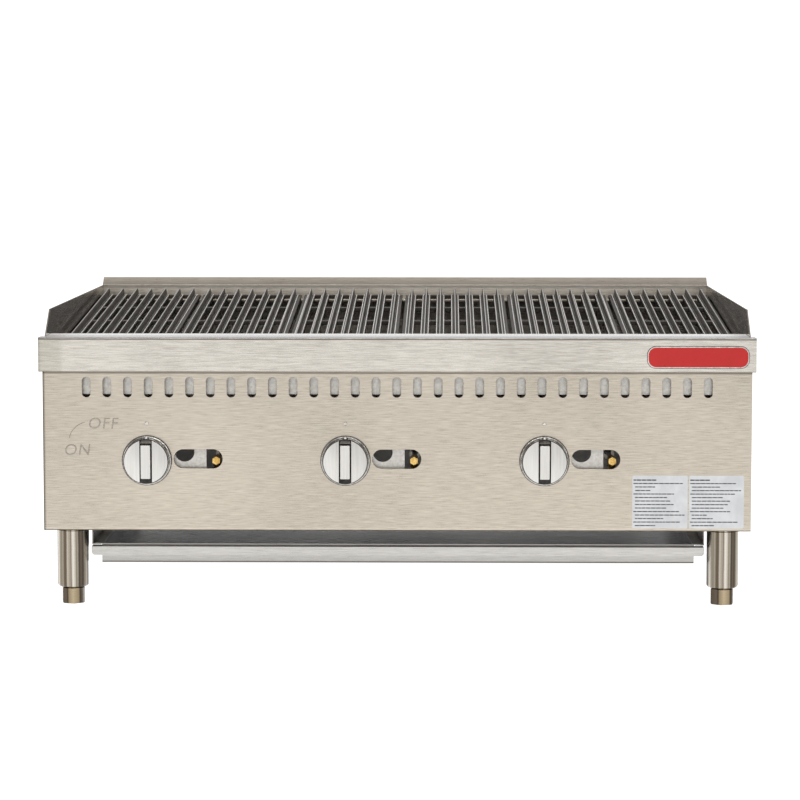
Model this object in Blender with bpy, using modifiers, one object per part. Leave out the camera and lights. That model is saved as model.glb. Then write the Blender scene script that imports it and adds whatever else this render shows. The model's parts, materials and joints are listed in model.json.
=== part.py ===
"""Charbroiler grill: a 36 inch countertop gas radiant charbroiler with three burners and six lift-off
grates. Metres, +Z up, front towards -Y. The origin is on the counter, under the middle of the
bounding box."""

import math

import bmesh
import bpy
from mathutils import Matrix, Vector

# Driving dimensions of the whole object
WIDTH = 0.914  # across the front rail
DEPTH = 0.700  # knob faces to the rear flange's edge
HEIGHT = 0.3912  # counter to the rear flange's edge
BODY_WIDTH = 0.905  # across the side panels
BASE_Z = 0.100  # underside of the body
PANEL_TOP_Z = 0.3042  # lower edge of the front rail
LEDGE_Z = 0.3480  # top of the front rail
GUARD_Z = 0.3802  # top of the splash guards
SHEET = 0.0015  # gauge of the stainless sheet
GAP = 0.0003  # clearance between pieces that touch
FIT = 0.0005  # clearance between pieces that slide or turn

# Places along Y, front to back
KNOB_FACE_Y = -DEPTH / 2
LIP_Y = KNOB_FACE_Y + 0.016  # face of the front rail
PANEL_Y = LIP_Y + 0.006  # face of the control panel
LEDGE_REAR_Y = LIP_Y + 0.077
SHIELD_Y = -0.2255  # front face of the heat shield
REAR_Y = 0.333  # inner face of the rear panel

# The burner units
BURNER_COUNT = 3
BURNER_PITCH = 0.254
BURNER_X = [BURNER_PITCH * (index - (BURNER_COUNT - 1) / 2) for index in range(BURNER_COUNT)]
BURNER_Z = 0.1902  # axis of knobs, valves and burner tubes
MIXER_OFFSET = 0.0655  # a U burner's legs stand this far each side of its middle
MIXER_MOUTH_Y = -0.2580
PILOT_OFFSET = 0.022
PILOT_Z = BURNER_Z - 0.002
TUBE_RADIUS = 0.0205
MANIFOLD_Y = -0.290
MANIFOLD_Z = 0.1542
MANIFOLD_RADIUS = 0.0135
PIPE_WALL = 0.0025
PIPE_HOLE_RADIUS = 0.017
INLET_X = 0.375
INLET_Z = 0.1292
KNOB_DEPTH = 0.0217
KNOB_SKIRT_RADIUS = 0.032
KNOB_FACE_RADIUS = 0.0285
STEM_RADIUS = 0.004

# The firebox inside the body
LINER_X = 0.438  # outer face of a firebox liner
LINER_INNER_X = LINER_X - SHEET
CHANNEL_X = 0.3995  # inner face of a base channel
CHANNEL_WALL = 0.026
TROUGH_Z = 0.3012
RADIANT_Z = 0.2422
RADIANT_HALF = 0.105
RADIANT_PEAK = 0.034

# The grates
GRATE_COUNT = 6
GRATE_PITCH = 0.1506
BARS = 7
BAR_PITCH = 0.02105
GRATE_LENGTH = 0.516
GRATE_FRONT_Y = LIP_Y + 0.129
GRATE_FRONT_Z = 0.3177  # underside at the front end
GRATE_TILT = math.asin(0.0435 / GRATE_LENGTH)
GRATE_PLATE = 0.006
FIN_HEIGHT = 0.010
RIB_SPANS = 4

# Openings in the control panel
SLOT_COUNT = 31
SLOT_PITCH = 0.02644
SLOT_WIDTH = 0.011
SLOT_HEIGHT = 0.0263
SLOT_Z = 0.2842
SIGHT_WIDTH = 0.0626
SIGHT_HEIGHT = 0.0248
SIGHT_Z = 0.1922

# The nameplate
PLATE_X = 0.3831
PLATE_Z = 0.3235
PLATE_WIDTH = 0.129
PLATE_HEIGHT = 0.0275
PLATE_CORNER = 0.011

# Legs, feet and tray
LEG_X = 0.4205
LEG_Y = 0.286
LEG_RADIUS = 0.0205
LEG_BOTTOM_Z = 0.0218
FOOT_RADIUS = 0.0165
FOOT_STEM_RADIUS = 0.008
FOOT_TURN = math.radians(10)  # how far the front feet happen to be screwed in, mirrored left to right
TRAY_HALF = 0.3845
TRAY_FLOOR_Z = 0.0508
TRAY_RIM_Z = 0.0756
TRAY_LIP_HALF = 0.3965
TRAY_LIP_HEIGHT = 0.0115
TRAY_FRONT_Y = LIP_Y + 0.060
TRAY_REAR_Y = 0.270
RAIL_WEB_X = 0.399  # outer face of a tray rail's web
RAIL_LIP_Z = 0.0738  # top of a tray rail's lip

for old in list(bpy.data.objects):
    bpy.data.objects.remove(old, do_unlink=True)

parts = bpy.data.collections.new("charbroiler_grill")
cutters = bpy.data.collections.new("cutters")
cutters.hide_render = True
for collection in (parts, cutters):
    bpy.context.scene.collection.children.link(collection)


def material(name, color, metallic, roughness):
    made = bpy.data.materials.new(name)
    made.use_nodes = True
    shader = made.node_tree.nodes["Principled BSDF"]
    shader.inputs["Base Color"].default_value = (*color, 1.0)
    shader.inputs["Metallic"].default_value = metallic
    shader.inputs["Roughness"].default_value = roughness
    return made


STAINLESS = material("brushed_stainless", (0.62, 0.58, 0.52), 1.0, 0.35)
GALVANISED = material("galvanised_steel", (0.58, 0.59, 0.60), 0.9, 0.50)
CHROME = material("satin_chrome", (0.75, 0.76, 0.78), 1.0, 0.20)
NICKEL = material("nickel_leg", (0.55, 0.51, 0.45), 1.0, 0.28)
CAST_IRON = material("cast_iron", (0.10, 0.10, 0.105), 0.6, 0.55)
HEAT_STEEL = material("heated_steel", (0.20, 0.18, 0.16), 0.8, 0.60)
BRASS = material("brass", (0.78, 0.58, 0.25), 1.0, 0.30)
BLACK_PIPE = material("black_pipe", (0.06, 0.06, 0.06), 0.5, 0.55)
ENAMEL = material("red_enamel", (0.55, 0.03, 0.04), 0.0, 0.30)


# Modelling helpers


def add_mesh_object(name, shape, finish, collection):
    mesh = bpy.data.meshes.new(name)
    shape.to_mesh(mesh)
    shape.free()
    if finish:
        mesh.materials.append(finish)
    made = bpy.data.objects.new(name, mesh)
    collection.objects.link(made)
    if collection is cutters:
        made.hide_render = True
        made.display_type = "WIRE"
    return made


def box(name, low, high, finish=None, collection=parts):
    """A box from its lowest to its highest corner, with its origin at its middle."""
    size = Vector(high) - Vector(low)
    shape = bmesh.new()
    bmesh.ops.create_cube(shape, size=1.0)
    bmesh.ops.scale(shape, vec=size, verts=shape.verts)
    made = add_mesh_object(name, shape, finish, collection)
    made.location = (Vector(low) + Vector(high)) / 2
    return made


AXES = {
    "X": Matrix(((0, 0, 1), (1, 0, 0), (0, 1, 0))),
    "Y": Matrix(((1, 0, 0), (0, 0, -1), (0, 1, 0))),
    "Z": Matrix.Identity(3),
}


def cylinder(
    name, centre, radius, length, axis="Z", sides=24, finish=None, collection=parts, end_radius=None
):
    """A cylinder along an axis, or a cone when the end at +axis has its own radius."""
    shape = bmesh.new()
    bmesh.ops.create_cone(
        shape,
        cap_ends=True,
        segments=sides,
        radius1=radius,
        radius2=radius if end_radius is None else end_radius,
        depth=length,
    )
    bmesh.ops.transform(shape, matrix=AXES[axis].to_4x4(), verts=shape.verts)
    if axis == "Y":
        # That turn points the cone's own axis at -Y.
        bmesh.ops.rotate(shape, matrix=Matrix.Rotation(math.pi, 3, "Z"), verts=shape.verts)
    made = add_mesh_object(name, shape, finish, collection)
    made.location = centre
    return made


def outline(name, points, low, high, axis, finish=None):
    """A flat outline carried along an axis from low to high. The points are the other two
    coordinates: (y, z) for X, (x, z) for Y and (x, y) for Z."""
    curve = bpy.data.curves.new(name, "CURVE")
    curve.dimensions = "2D"
    curve.fill_mode = "BOTH"
    curve.extrude = (high - low) / 2
    spline = curve.splines.new("POLY")
    spline.points.add(len(points) - 1)
    for point, (u, v) in zip(spline.points, points):
        point.co = (u, v, 0, 1)
    spline.use_cyclic_u = True
    if finish:
        curve.materials.append(finish)
    made = bpy.data.objects.new(name, curve)
    parts.objects.link(made)
    made.rotation_euler = AXES[axis].to_euler()
    middle = (low + high) / 2
    made.location = {"X": (middle, 0, 0), "Y": (0, middle, 0), "Z": (0, 0, middle)}[axis]
    return made


def folded(path, thickness):
    """The outline of a sheet folded along a path. The sheet lies to the left of the path."""
    left = []
    for index, here in enumerate(path):
        here = Vector(here)
        before = Vector(path[index - 1]) if index else None
        after = Vector(path[index + 1]) if index + 1 < len(path) else None
        turns = [(b - a).normalized() for a, b in ((before, here), (here, after)) if a and b]
        normals = [Vector((-t.y, t.x)) for t in turns]
        mitre = sum(normals, Vector((0, 0))).normalized()
        left.append(here + mitre * (thickness / mitre.dot(normals[0])))
    return [tuple(p) for p in path] + [tuple(p) for p in reversed(left)]


def as_mesh(source, collection=parts):
    """Makes a curve a mesh of one closed skin, so that it can be cut, joined or used as a cutter."""
    bpy.context.view_layer.update()
    graph = bpy.context.evaluated_depsgraph_get()
    mesh = bpy.data.meshes.new_from_object(source.evaluated_get(graph))
    shape = bmesh.new()
    shape.from_mesh(mesh)
    bmesh.ops.remove_doubles(shape, verts=shape.verts, dist=1e-6)
    bmesh.ops.recalc_face_normals(shape, faces=shape.faces)
    shape.to_mesh(mesh)
    shape.free()
    name = source.name
    matrix = source.matrix_world.copy()
    bpy.data.objects.remove(source, do_unlink=True)
    made = bpy.data.objects.new(name, mesh)
    made.matrix_world = matrix
    collection.objects.link(made)
    if collection is cutters:
        made.hide_render = True
        made.display_type = "WIRE"
    return made


def combine(target, others, operation):
    for other in others:
        if other.name in parts.objects:
            parts.objects.unlink(other)
            cutters.objects.link(other)
            other.hide_render = True
            other.display_type = "WIRE"
        modifier = target.modifiers.new(f"{operation}_{other.name}", "BOOLEAN")
        modifier.operation = operation
        modifier.object = other
        modifier.solver = "EXACT"
    return target


def cut(target, *others):
    return combine(target, others, "DIFFERENCE")


def join(target, *others):
    return combine(target, others, "UNION")


def stadium(width, height, steps):
    """Points round a slot with half-round ends, longer along whichever side is longer."""
    radius = min(width, height) / 2
    reach = max(width, height) / 2 - radius
    points = []
    for end in (1, -1):
        for step in range(steps + 1):
            angle = math.pi * (step / steps - 0.5) + (0 if end > 0 else math.pi)
            points.append((end * reach + radius * math.cos(angle), radius * math.sin(angle)))
    if height > width:
        points = [(-v, u) for u, v in points]
    return points


def smooth(target, degrees=35):
    target.data.shade_smooth()
    target.data.set_sharp_from_angle(angle=math.radians(degrees))
    return target


def turned(name, profile, centre, finish, steps=24):
    """A shape turned about its own Z from (radius, height) pairs that run from top to bottom."""
    shape = bmesh.new()
    verts = [shape.verts.new((radius, 0, height)) for radius, height in profile]
    for first, second in zip(verts, verts[1:]):
        shape.edges.new((first, second))
    made = add_mesh_object(name, shape, finish, parts)
    made.location = centre
    screw = made.modifiers.new("turn", "SCREW")
    screw.steps = steps
    screw.render_steps = steps
    screw.use_merge_vertices = True
    screw.merge_threshold = 1e-5
    return made


# The body's sheet metal


def make_side_panel(name, side):
    """One side of the body. Its top stands above the grates as a splash guard with a slanted front."""
    front = PANEL_Y + SHEET + GAP
    rear = REAR_Y - GAP
    guard_foot_y = LIP_Y + 0.030
    guard_top_y = LIP_Y + 0.074
    under_ledge = LEDGE_Z - SHEET - GAP
    points = [
        (front, BASE_Z),
        (rear, BASE_Z),
        (rear, GUARD_Z),
        (guard_top_y, GUARD_Z),
        (guard_foot_y, LEDGE_Z),
        (guard_foot_y, under_ledge),
        (front, under_ledge),
    ]
    outer = side * BODY_WIDTH / 2
    inner = outer - side * SHEET
    return outline(name, points, min(outer, inner), max(outer, inner), "X", STAINLESS)


def make_rear_panel():
    """The back sheet, whose top edge is bent backwards. The gas inlet pipe passes through it."""
    path = [
        (REAR_Y + SHEET, BASE_Z),
        (REAR_Y + SHEET, GUARD_Z - 0.0005),
        (DEPTH / 2, HEIGHT - 0.00126),
    ]
    panel = outline("rear_panel", folded(path, SHEET), -BODY_WIDTH / 2, BODY_WIDTH / 2, "X", STAINLESS)
    panel = as_mesh(panel)
    hole_place = (INLET_X, REAR_Y, INLET_Z)
    hole = cylinder("inlet_hole", hole_place, PIPE_HOLE_RADIUS, 0.02, "Y", 16, None, cutters)
    return cut(panel, hole)


def make_front_rail():
    """The folded band along the front, with the ledge on top and end returns outside the side panels."""
    inside = LIP_Y + SHEET
    path = [
        (PANEL_Y - FIT, PANEL_TOP_Z),
        (LIP_Y, PANEL_TOP_Z),
        (LIP_Y, LEDGE_Z),
        (LEDGE_REAR_Y, LEDGE_Z),
        (LEDGE_REAR_Y, PANEL_TOP_Z + 0.006),
    ]
    sheet = folded(list(reversed(path)), SHEET)
    rail = as_mesh(outline("front_rail", sheet, -WIDTH / 2, WIDTH / 2, "X", STAINLESS))
    notch_front = LIP_Y + 0.0295
    notch_x = BODY_WIDTH / 2 - SHEET - FIT
    notches = []
    returns = []
    for side in (-1, 1):
        inner, outer = sorted((side * notch_x, side * (WIDTH / 2 + 0.01)))
        notches.append(
            box(
                f"rail_notch_{side}",
                (inner, notch_front, PANEL_TOP_Z - 0.01),
                (outer, LEDGE_REAR_Y + 0.01, LEDGE_Z + 0.01),
                None,
                cutters,
            )
        )
        inner, outer = sorted((side * (WIDTH / 2 - SHEET), side * WIDTH / 2))
        returns.append(
            box(
                f"rail_return_{side}",
                (inner, inside - 0.0005, PANEL_TOP_Z),
                (outer, notch_front, LEDGE_Z - 0.0005),
                None,
                cutters,
            )
        )
    return join(cut(rail, *notches), *returns)


def make_control_panel():
    """The front sheet, with its row of vent slots, three sight slots and the holes for the stems."""
    top = LEDGE_Z - 0.004
    bottom_return_y = PANEL_Y + 0.022
    path = [(PANEL_Y, top), (PANEL_Y, BASE_Z)]
    panel = as_mesh(
        outline("control_panel", folded(path, SHEET), -BODY_WIDTH / 2, BODY_WIDTH / 2, "X", STAINLESS)
    )
    bottom_return = box(
        "panel_return",
        (-CHANNEL_X + FIT, PANEL_Y + SHEET / 2, BASE_Z),
        (CHANNEL_X - FIT, bottom_return_y, BASE_Z + SHEET),
        None,
        cutters,
    )
    join(panel, bottom_return)
    through = (PANEL_Y - 0.01, PANEL_Y + 0.01)
    slot = outline("vent_slots", stadium(SLOT_WIDTH, SLOT_HEIGHT, 4), *through, "Y")
    slot.location = (-SLOT_PITCH * (SLOT_COUNT - 1) / 2, PANEL_Y, SLOT_Z)
    slots = as_mesh(slot, cutters)
    row = slots.modifiers.new("row", "ARRAY")
    row.count = SLOT_COUNT
    row.use_relative_offset = False
    row.use_constant_offset = True
    row.constant_offset_displace = (SLOT_PITCH, 0, 0)
    cut(panel, slots)
    stem_hole_radius = STEM_RADIUS + 0.002
    for number, x in enumerate(BURNER_X, 1):
        sight = outline(f"sight_slot_{number}", stadium(SIGHT_WIDTH, SIGHT_HEIGHT, 8), *through, "Y")
        sight.location = (x, PANEL_Y, SIGHT_Z)
        stem_place = (x - MIXER_OFFSET, PANEL_Y, BURNER_Z)
        hole = cylinder(f"stem_hole_{number}", stem_place, stem_hole_radius, 0.02, "Y", 16, None, cutters)
        cut(panel, as_mesh(sight, cutters), hole)
    return panel


def make_vent_shield():
    """A galvanised strip a little way behind the vent slots, folded back along its top."""
    front = PANEL_Y + SHEET + 0.008
    path = [
        (front, SLOT_Z - 0.0100),
        (front, PANEL_TOP_Z + 0.008),
        (front + 0.014, PANEL_TOP_Z + 0.008),
    ]
    reach = SLOT_PITCH * SLOT_COUNT / 2 + 0.010
    return outline("vent_shield", folded(list(reversed(path)), 0.001), -reach, reach, "X", GALVANISED)


def make_valve_bracket():
    """The galvanised plate behind the sight slots. Round holes look in on the burner mouths, and
    windows look in on the pilot valves."""
    front = PANEL_Y + 0.0085
    thick = 0.001
    through = 0.01
    stem_radius = 0.009
    look_radius = 0.0125
    look_offset = -0.018
    window_half_height = 0.018
    bracket = box(
        "valve_bracket",
        (BURNER_X[0] - 0.110, front, BURNER_Z - 0.025),
        (BURNER_X[-1] + 0.075, front + thick, BURNER_Z + 0.033),
        GALVANISED,
    )
    for number, x in enumerate(BURNER_X, 1):
        stem_place = (x - MIXER_OFFSET, front, BURNER_Z)
        stem = cylinder(f"bracket_stem_{number}", stem_place, stem_radius, through, "Y", 16, None, cutters)
        look_place = (x + look_offset, front, SIGHT_Z + 0.008)
        look = cylinder(f"look_hole_{number}", look_place, look_radius, through, "Y", 24, None, cutters)
        window = box(
            f"pilot_window_{number}",
            (x + 0.010, front - through / 2, SIGHT_Z - window_half_height),
            (x + 0.048, front + through / 2, SIGHT_Z + window_half_height),
            None,
            cutters,
        )
        cut(bracket, stem, look, window)
    return bracket


def make_heat_shield():
    """The firebox's front wall. A ledge on its rear face carries the front ends of the radiants."""
    shield = box(
        "heat_shield",
        (FIT - LINER_INNER_X, SHIELD_Y, BASE_Z + CHANNEL_WALL + FIT),
        (LINER_INNER_X - FIT, SHIELD_Y + SHEET, TROUGH_Z - GAP),
        HEAT_STEEL,
    )
    ledge = box(
        "radiant_ledge",
        (FIT - LINER_INNER_X, SHIELD_Y + SHEET / 2, RADIANT_Z - SHEET),
        (LINER_INNER_X - FIT, SHIELD_Y + 0.017, RADIANT_Z),
        None,
        cutters,
    )
    join(shield, ledge)
    through = 0.02
    mixer_radius = TUBE_RADIUS + 0.002
    pilot_radius = 0.0075
    for number, x in enumerate(BURNER_X, 1):
        mixer_place = (x - MIXER_OFFSET, SHIELD_Y, BURNER_Z)
        mixer = cylinder(f"mixer_hole_{number}", mixer_place, mixer_radius, through, "Y", 24, None, cutters)
        pilot_place = (x + PILOT_OFFSET, SHIELD_Y, PILOT_Z)
        pilot = cylinder(f"pilot_hole_{number}", pilot_place, pilot_radius, through, "Y", 12, None, cutters)
        cut(shield, mixer, pilot)
    inlet_place = (INLET_X, SHIELD_Y, INLET_Z)
    inlet = cylinder("shield_inlet_hole", inlet_place, PIPE_HOLE_RADIUS, through, "Y", 16, None, cutters)
    return cut(shield, inlet)


def make_liner(name, side):
    """A firebox side wall, folded outwards along its top towards the side panel."""
    top = TROUGH_Z - GAP - SHEET
    path = [
        (side * LINER_X, BASE_Z + 0.008),
        (side * LINER_X, top),
        (side * (BODY_WIDTH / 2 - SHEET - FIT), top),
    ]
    if side < 0:
        path.reverse()
    return outline(name, folded(path, SHEET), SHIELD_Y - 0.020, REAR_Y - 0.002, "Y", HEAT_STEEL)


def make_front_grate_support():
    """A trough under the grates' front ends, which catches their grease. Its rear edge carries them."""
    top = GRATE_FRONT_Z - FIT
    path = [
        (LEDGE_REAR_Y + 0.0005, LEDGE_Z - 0.008),
        (LEDGE_REAR_Y + 0.0005, TROUGH_Z),
        (GRATE_FRONT_Y + 0.009, TROUGH_Z),
    ]
    seat_path = [
        (GRATE_FRONT_Y + 0.018, top),
        (GRATE_FRONT_Y + 0.008, top),
        (GRATE_FRONT_Y + 0.008, TROUGH_Z),
    ]
    reach = BODY_WIDTH / 2 - SHEET - FIT
    trough = as_mesh(outline("front_grate_support", folded(path, SHEET), -reach, reach, "X", STAINLESS))
    seat = as_mesh(outline("grate_seat", folded(seat_path, SHEET), -reach, reach, "X"), cutters)
    join(trough, seat)
    for side in (-1, 1):
        drain = box(
            f"trough_drain_{side}",
            (side * 0.20 - 0.030, GRATE_FRONT_Y - 0.030, TROUGH_Z - 0.01),
            (side * 0.20 + 0.030, GRATE_FRONT_Y - 0.018, TROUGH_Z + 0.005),
            None,
            cutters,
        )
        cut(trough, drain)
    return trough


def make_rear_grate_support():
    """An angle along the rear panel that carries the grates' rear ends."""
    seat_y = REAR_Y - 0.040
    seat_z = GRATE_FRONT_Z + (seat_y - GRATE_FRONT_Y) * math.tan(GRATE_TILT) - FIT
    path = [(seat_y, seat_z), (REAR_Y - GAP, seat_z), (REAR_Y - GAP, seat_z - 0.030)]
    reach = LINER_INNER_X - FIT
    return outline("rear_grate_support", folded(list(reversed(path)), SHEET), -reach, reach, "X", STAINLESS)


def make_rear_radiant_support():
    """A cross bar along the rear panel, under the rear ends of the radiants."""
    path = [
        (REAR_Y - 0.050, RADIANT_Z),
        (REAR_Y - GAP, RADIANT_Z),
        (REAR_Y - GAP, RADIANT_Z - 0.025),
    ]
    reach = LINER_INNER_X - FIT
    path.reverse()
    return outline("rear_radiant_support", folded(path, SHEET), -reach, reach, "X", HEAT_STEEL)


def make_burner_rest():
    """A cross bar under the rear bends of the burners, hung between the liners."""
    top = BURNER_Z - TUBE_RADIUS - FIT
    middle = 0.245
    path = [(middle - 0.012, top), (middle + 0.012, top), (middle + 0.012, top - 0.014)]
    reach = LINER_INNER_X - FIT
    return outline("burner_rest", folded(list(reversed(path)), SHEET), -reach, reach, "X", HEAT_STEEL)


def make_base_channel(name, side):
    """An upright channel along one side of the base, which stiffens the body and takes the legs."""
    inner = CHANNEL_X
    outer = BODY_WIDTH / 2 - SHEET - FIT
    top = BASE_Z + CHANNEL_WALL
    path = [(inner, top), (inner, BASE_Z), (outer, BASE_Z), (outer, top)]
    points = [(side * x, z) for x, z in folded(path, 0.002)]
    return outline(name, points, PANEL_Y + 0.004, REAR_Y - 0.002, "Y", GALVANISED)


def make_tray_rail(name, side):
    """A hanging rail whose inward lip carries the rim of the drip tray."""
    path = [
        (RAIL_WEB_X, BASE_Z + 0.024),
        (RAIL_WEB_X, RAIL_LIP_Z - SHEET),
        (TRAY_HALF + 0.003, RAIL_LIP_Z - SHEET),
    ]
    points = [(side * x, z) for x, z in folded(list(reversed(path)), SHEET)]
    return outline(name, points, TRAY_FRONT_Y + 0.012, TRAY_REAR_Y + 0.010, "Y", STAINLESS)


# The gas train


def tube(name, points, radius, finish, collection=parts, resolution=2):
    """A round bar along a route of points."""
    curve = bpy.data.curves.new(name, "CURVE")
    curve.dimensions = "3D"
    curve.bevel_depth = radius
    curve.bevel_resolution = resolution
    curve.use_fill_caps = True
    curve.materials.append(finish)
    spline = curve.splines.new("POLY")
    spline.points.add(len(points) - 1)
    for point, place in zip(spline.points, points):
        point.co = (*place, 1)
    made = bpy.data.objects.new(name, curve)
    collection.objects.link(made)
    return made


def hollow(target, wall, mouth, reach):
    """Opens a closed tube at its mouth and gives it a wall inwards."""
    shape = bmesh.new()
    shape.from_mesh(target.data)
    near = [f for f in shape.faces if all((v.co - Vector(mouth)).length < reach for v in f.verts)]
    bmesh.ops.delete(shape, geom=near, context="FACES")
    shape.to_mesh(target.data)
    shape.free()
    shell = target.modifiers.new("wall", "SOLIDIFY")
    shell.thickness = wall
    shell.offset = -1
    return target


def burner_route(x):
    """A U: back along the mixer leg, round the rear bend and forward along the other leg."""
    bend_y = 0.195
    bend_steps = 8
    points = [(x - MIXER_OFFSET, MIXER_MOUTH_Y, BURNER_Z)]
    for step in range(bend_steps + 1):
        angle = math.pi - math.pi * step / bend_steps
        points.append(
            (x + MIXER_OFFSET * math.cos(angle), bend_y + MIXER_OFFSET * math.sin(angle), BURNER_Z)
        )
    points.append((x + MIXER_OFFSET, -0.190, BURNER_Z))
    return points


def make_burner(number, x):
    """A U-shaped steel tube burner. Gas and air enter at its open mouth, in front of the heat shield."""
    route = burner_route(x)
    made = as_mesh(tube(f"burner_{number}", route, TUBE_RADIUS, HEAT_STEEL, resolution=3))
    return smooth(hollow(made, 0.0015, route[0], TUBE_RADIUS * 1.05), 60)


def make_air_shutter(number, x):
    """A collar that turns on the burner's mouth, with a window that lets in more or less air."""
    centre = (x - MIXER_OFFSET, MIXER_MOUTH_Y + 0.010, BURNER_Z)
    collar = cylinder(f"air_shutter_{number}", centre, TUBE_RADIUS + 0.0022, 0.015, "Y", 24, GALVANISED)
    bore = cylinder(f"shutter_bore_{number}", centre, TUBE_RADIUS + 0.0008, 0.03, "Y", 24, None, cutters)
    window = box(
        f"shutter_window_{number}",
        (centre[0] - 0.008, centre[1] - 0.004, centre[2] + 0.010),
        (centre[0] + 0.008, centre[1] + 0.004, centre[2] + 0.030),
        None,
        cutters,
    )
    tab = box(
        f"shutter_tab_{number}",
        (centre[0] + TUBE_RADIUS + 0.0015, centre[1] - 0.005, centre[2] - 0.004),
        (centre[0] + TUBE_RADIUS + 0.009, centre[1] + 0.005, centre[2] + 0.004),
        None,
        cutters,
    )
    return cut(join(collar, tab), bore, window)


def make_radiant(number, x):
    """A bent steel plate over a burner. It spreads the flame's heat and sheds grease."""
    half = RADIANT_HALF
    foot = 0.012
    path = [
        (x - half, RADIANT_Z + FIT),
        (x - half + foot, RADIANT_Z + FIT),
        (x, RADIANT_Z + RADIANT_PEAK),
        (x + half - foot, RADIANT_Z + FIT),
        (x + half, RADIANT_Z + FIT),
    ]
    return outline(
        f"radiant_{number}", folded(path, 0.002), SHIELD_Y + SHEET + 0.001, REAR_Y - 0.015, "Y", HEAT_STEEL
    )


def make_valve_body(number, x):
    """A brass burner valve standing on the manifold, bored at its front for the stem."""
    x -= MIXER_OFFSET
    front = PANEL_Y + 0.0110
    rear = MIXER_MOUTH_Y - 0.004
    body = cylinder(
        f"valve_body_{number}", (x, (front + rear) / 2, BURNER_Z), 0.011, rear - front, "Y", 16, BRASS
    )
    pipe_top = MANIFOLD_Z + MANIFOLD_RADIUS + GAP
    inlet = cylinder(
        f"valve_inlet_{number}",
        (x, MANIFOLD_Y, (pipe_top + BURNER_Z) / 2),
        0.008,
        BURNER_Z - pipe_top,
        "Z",
        6,
        None,
        cutters,
    )
    bore = cylinder(f"valve_bore_{number}", (x, front, BURNER_Z), 0.005, 0.032, "Y", 12, None, cutters)
    return cut(join(body, inlet), bore)


def make_valve_stem(number, x):
    """The spindle that joins a valve to its knob, with a flat ground on top."""
    front = KNOB_FACE_Y + 0.0135
    rear = PANEL_Y + 0.024
    stem = cylinder(
        f"valve_stem_{number}",
        (x - MIXER_OFFSET, (front + rear) / 2, BURNER_Z),
        STEM_RADIUS,
        rear - front,
        "Y",
        12,
        BRASS,
    )
    return smooth(stem)


def make_knob(number, x):
    """A chromed knob: a wide skirt, a tapered body and a grip bar standing in a channel across its face."""
    skirt = KNOB_SKIRT_RADIUS
    face = KNOB_FACE_RADIUS
    back = -KNOB_DEPTH
    bore = STEM_RADIUS + 0.0008
    profile = [
        (0.0, 0.0),
        (face - 0.0015, 0.0),
        (face, -0.0015),
        (face + 0.0010, back + 0.0045),
        (skirt - 0.0008, back + 0.0040),
        (skirt, back + 0.0030),
        (skirt, back),
        (bore, back),
        (bore, back + 0.0090),
        (0.0, back + 0.0090),
    ]
    name = f"knob_{number}"
    knob = turned(name, profile, (x - MIXER_OFFSET, KNOB_FACE_Y, BURNER_Z), CHROME, 24)
    knob.rotation_euler = (math.pi / 2, 0, 0)
    channel_depth = 0.0045
    channels = []
    for side in (-1, 1):
        inner, outer = sorted((side * 0.00635, side * 0.0078))
        channels.append(
            box(
                f"{name}_channel_{side}",
                (x - MIXER_OFFSET + inner, KNOB_FACE_Y - 0.01, BURNER_Z - 0.021),
                (x - MIXER_OFFSET + outer, KNOB_FACE_Y + channel_depth, BURNER_Z + 0.021),
                None,
                cutters,
            )
        )
    return cut(knob, *channels)


def make_manifold():
    """The gas pipe along the front, under the valves. Its right end is open to the inlet pipe."""
    ends = [(-0.365, MANIFOLD_Y, MANIFOLD_Z), (INLET_X - 0.030, MANIFOLD_Y, MANIFOLD_Z)]
    pipe = as_mesh(tube("gas_manifold", ends, MANIFOLD_RADIUS, BLACK_PIPE))
    return smooth(hollow(pipe, PIPE_WALL, ends[1], MANIFOLD_RADIUS * 1.05), 60)


def make_gas_inlet():
    """The inlet pipe: an elbow off the manifold, then a run under the firebox to the rear panel."""
    start = INLET_X - 0.030 + 0.0006
    points = [
        (start, MANIFOLD_Y, MANIFOLD_Z),
        (start + 0.008, MANIFOLD_Y, MANIFOLD_Z),
        (start + 0.023, MANIFOLD_Y + 0.008, MANIFOLD_Z - 0.009),
        (INLET_X, MANIFOLD_Y + 0.024, INLET_Z + 0.003),
        (INLET_X, MANIFOLD_Y + 0.040, INLET_Z),
        (INLET_X, DEPTH / 2 - 0.0005, INLET_Z),
    ]
    pipe = as_mesh(tube("gas_inlet_pipe", points, MANIFOLD_RADIUS, BLACK_PIPE))
    return smooth(hollow(pipe, PIPE_WALL, points[-1], MANIFOLD_RADIUS * 1.05), 60)


def make_pilot_valve(number, x):
    """A small brass hexagon valve on the manifold, seen through the sight slot."""
    x += PILOT_OFFSET
    front = PANEL_Y + 0.014
    rear = MANIFOLD_Y + 0.010
    z = PILOT_Z
    hexagon_radius = 0.0055
    inlet_radius = 0.0050
    middle = (x, (front + rear) / 2, z)
    body = cylinder(f"pilot_valve_{number}", middle, hexagon_radius, rear - front, "Y", 6, BRASS)
    pipe_top = MANIFOLD_Z + MANIFOLD_RADIUS + GAP
    foot = (x, MANIFOLD_Y, (pipe_top + z) / 2)
    inlet = cylinder(f"pilot_inlet_{number}", foot, inlet_radius, z - pipe_top, "Z", 8, None, cutters)
    return join(body, inlet)


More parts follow.
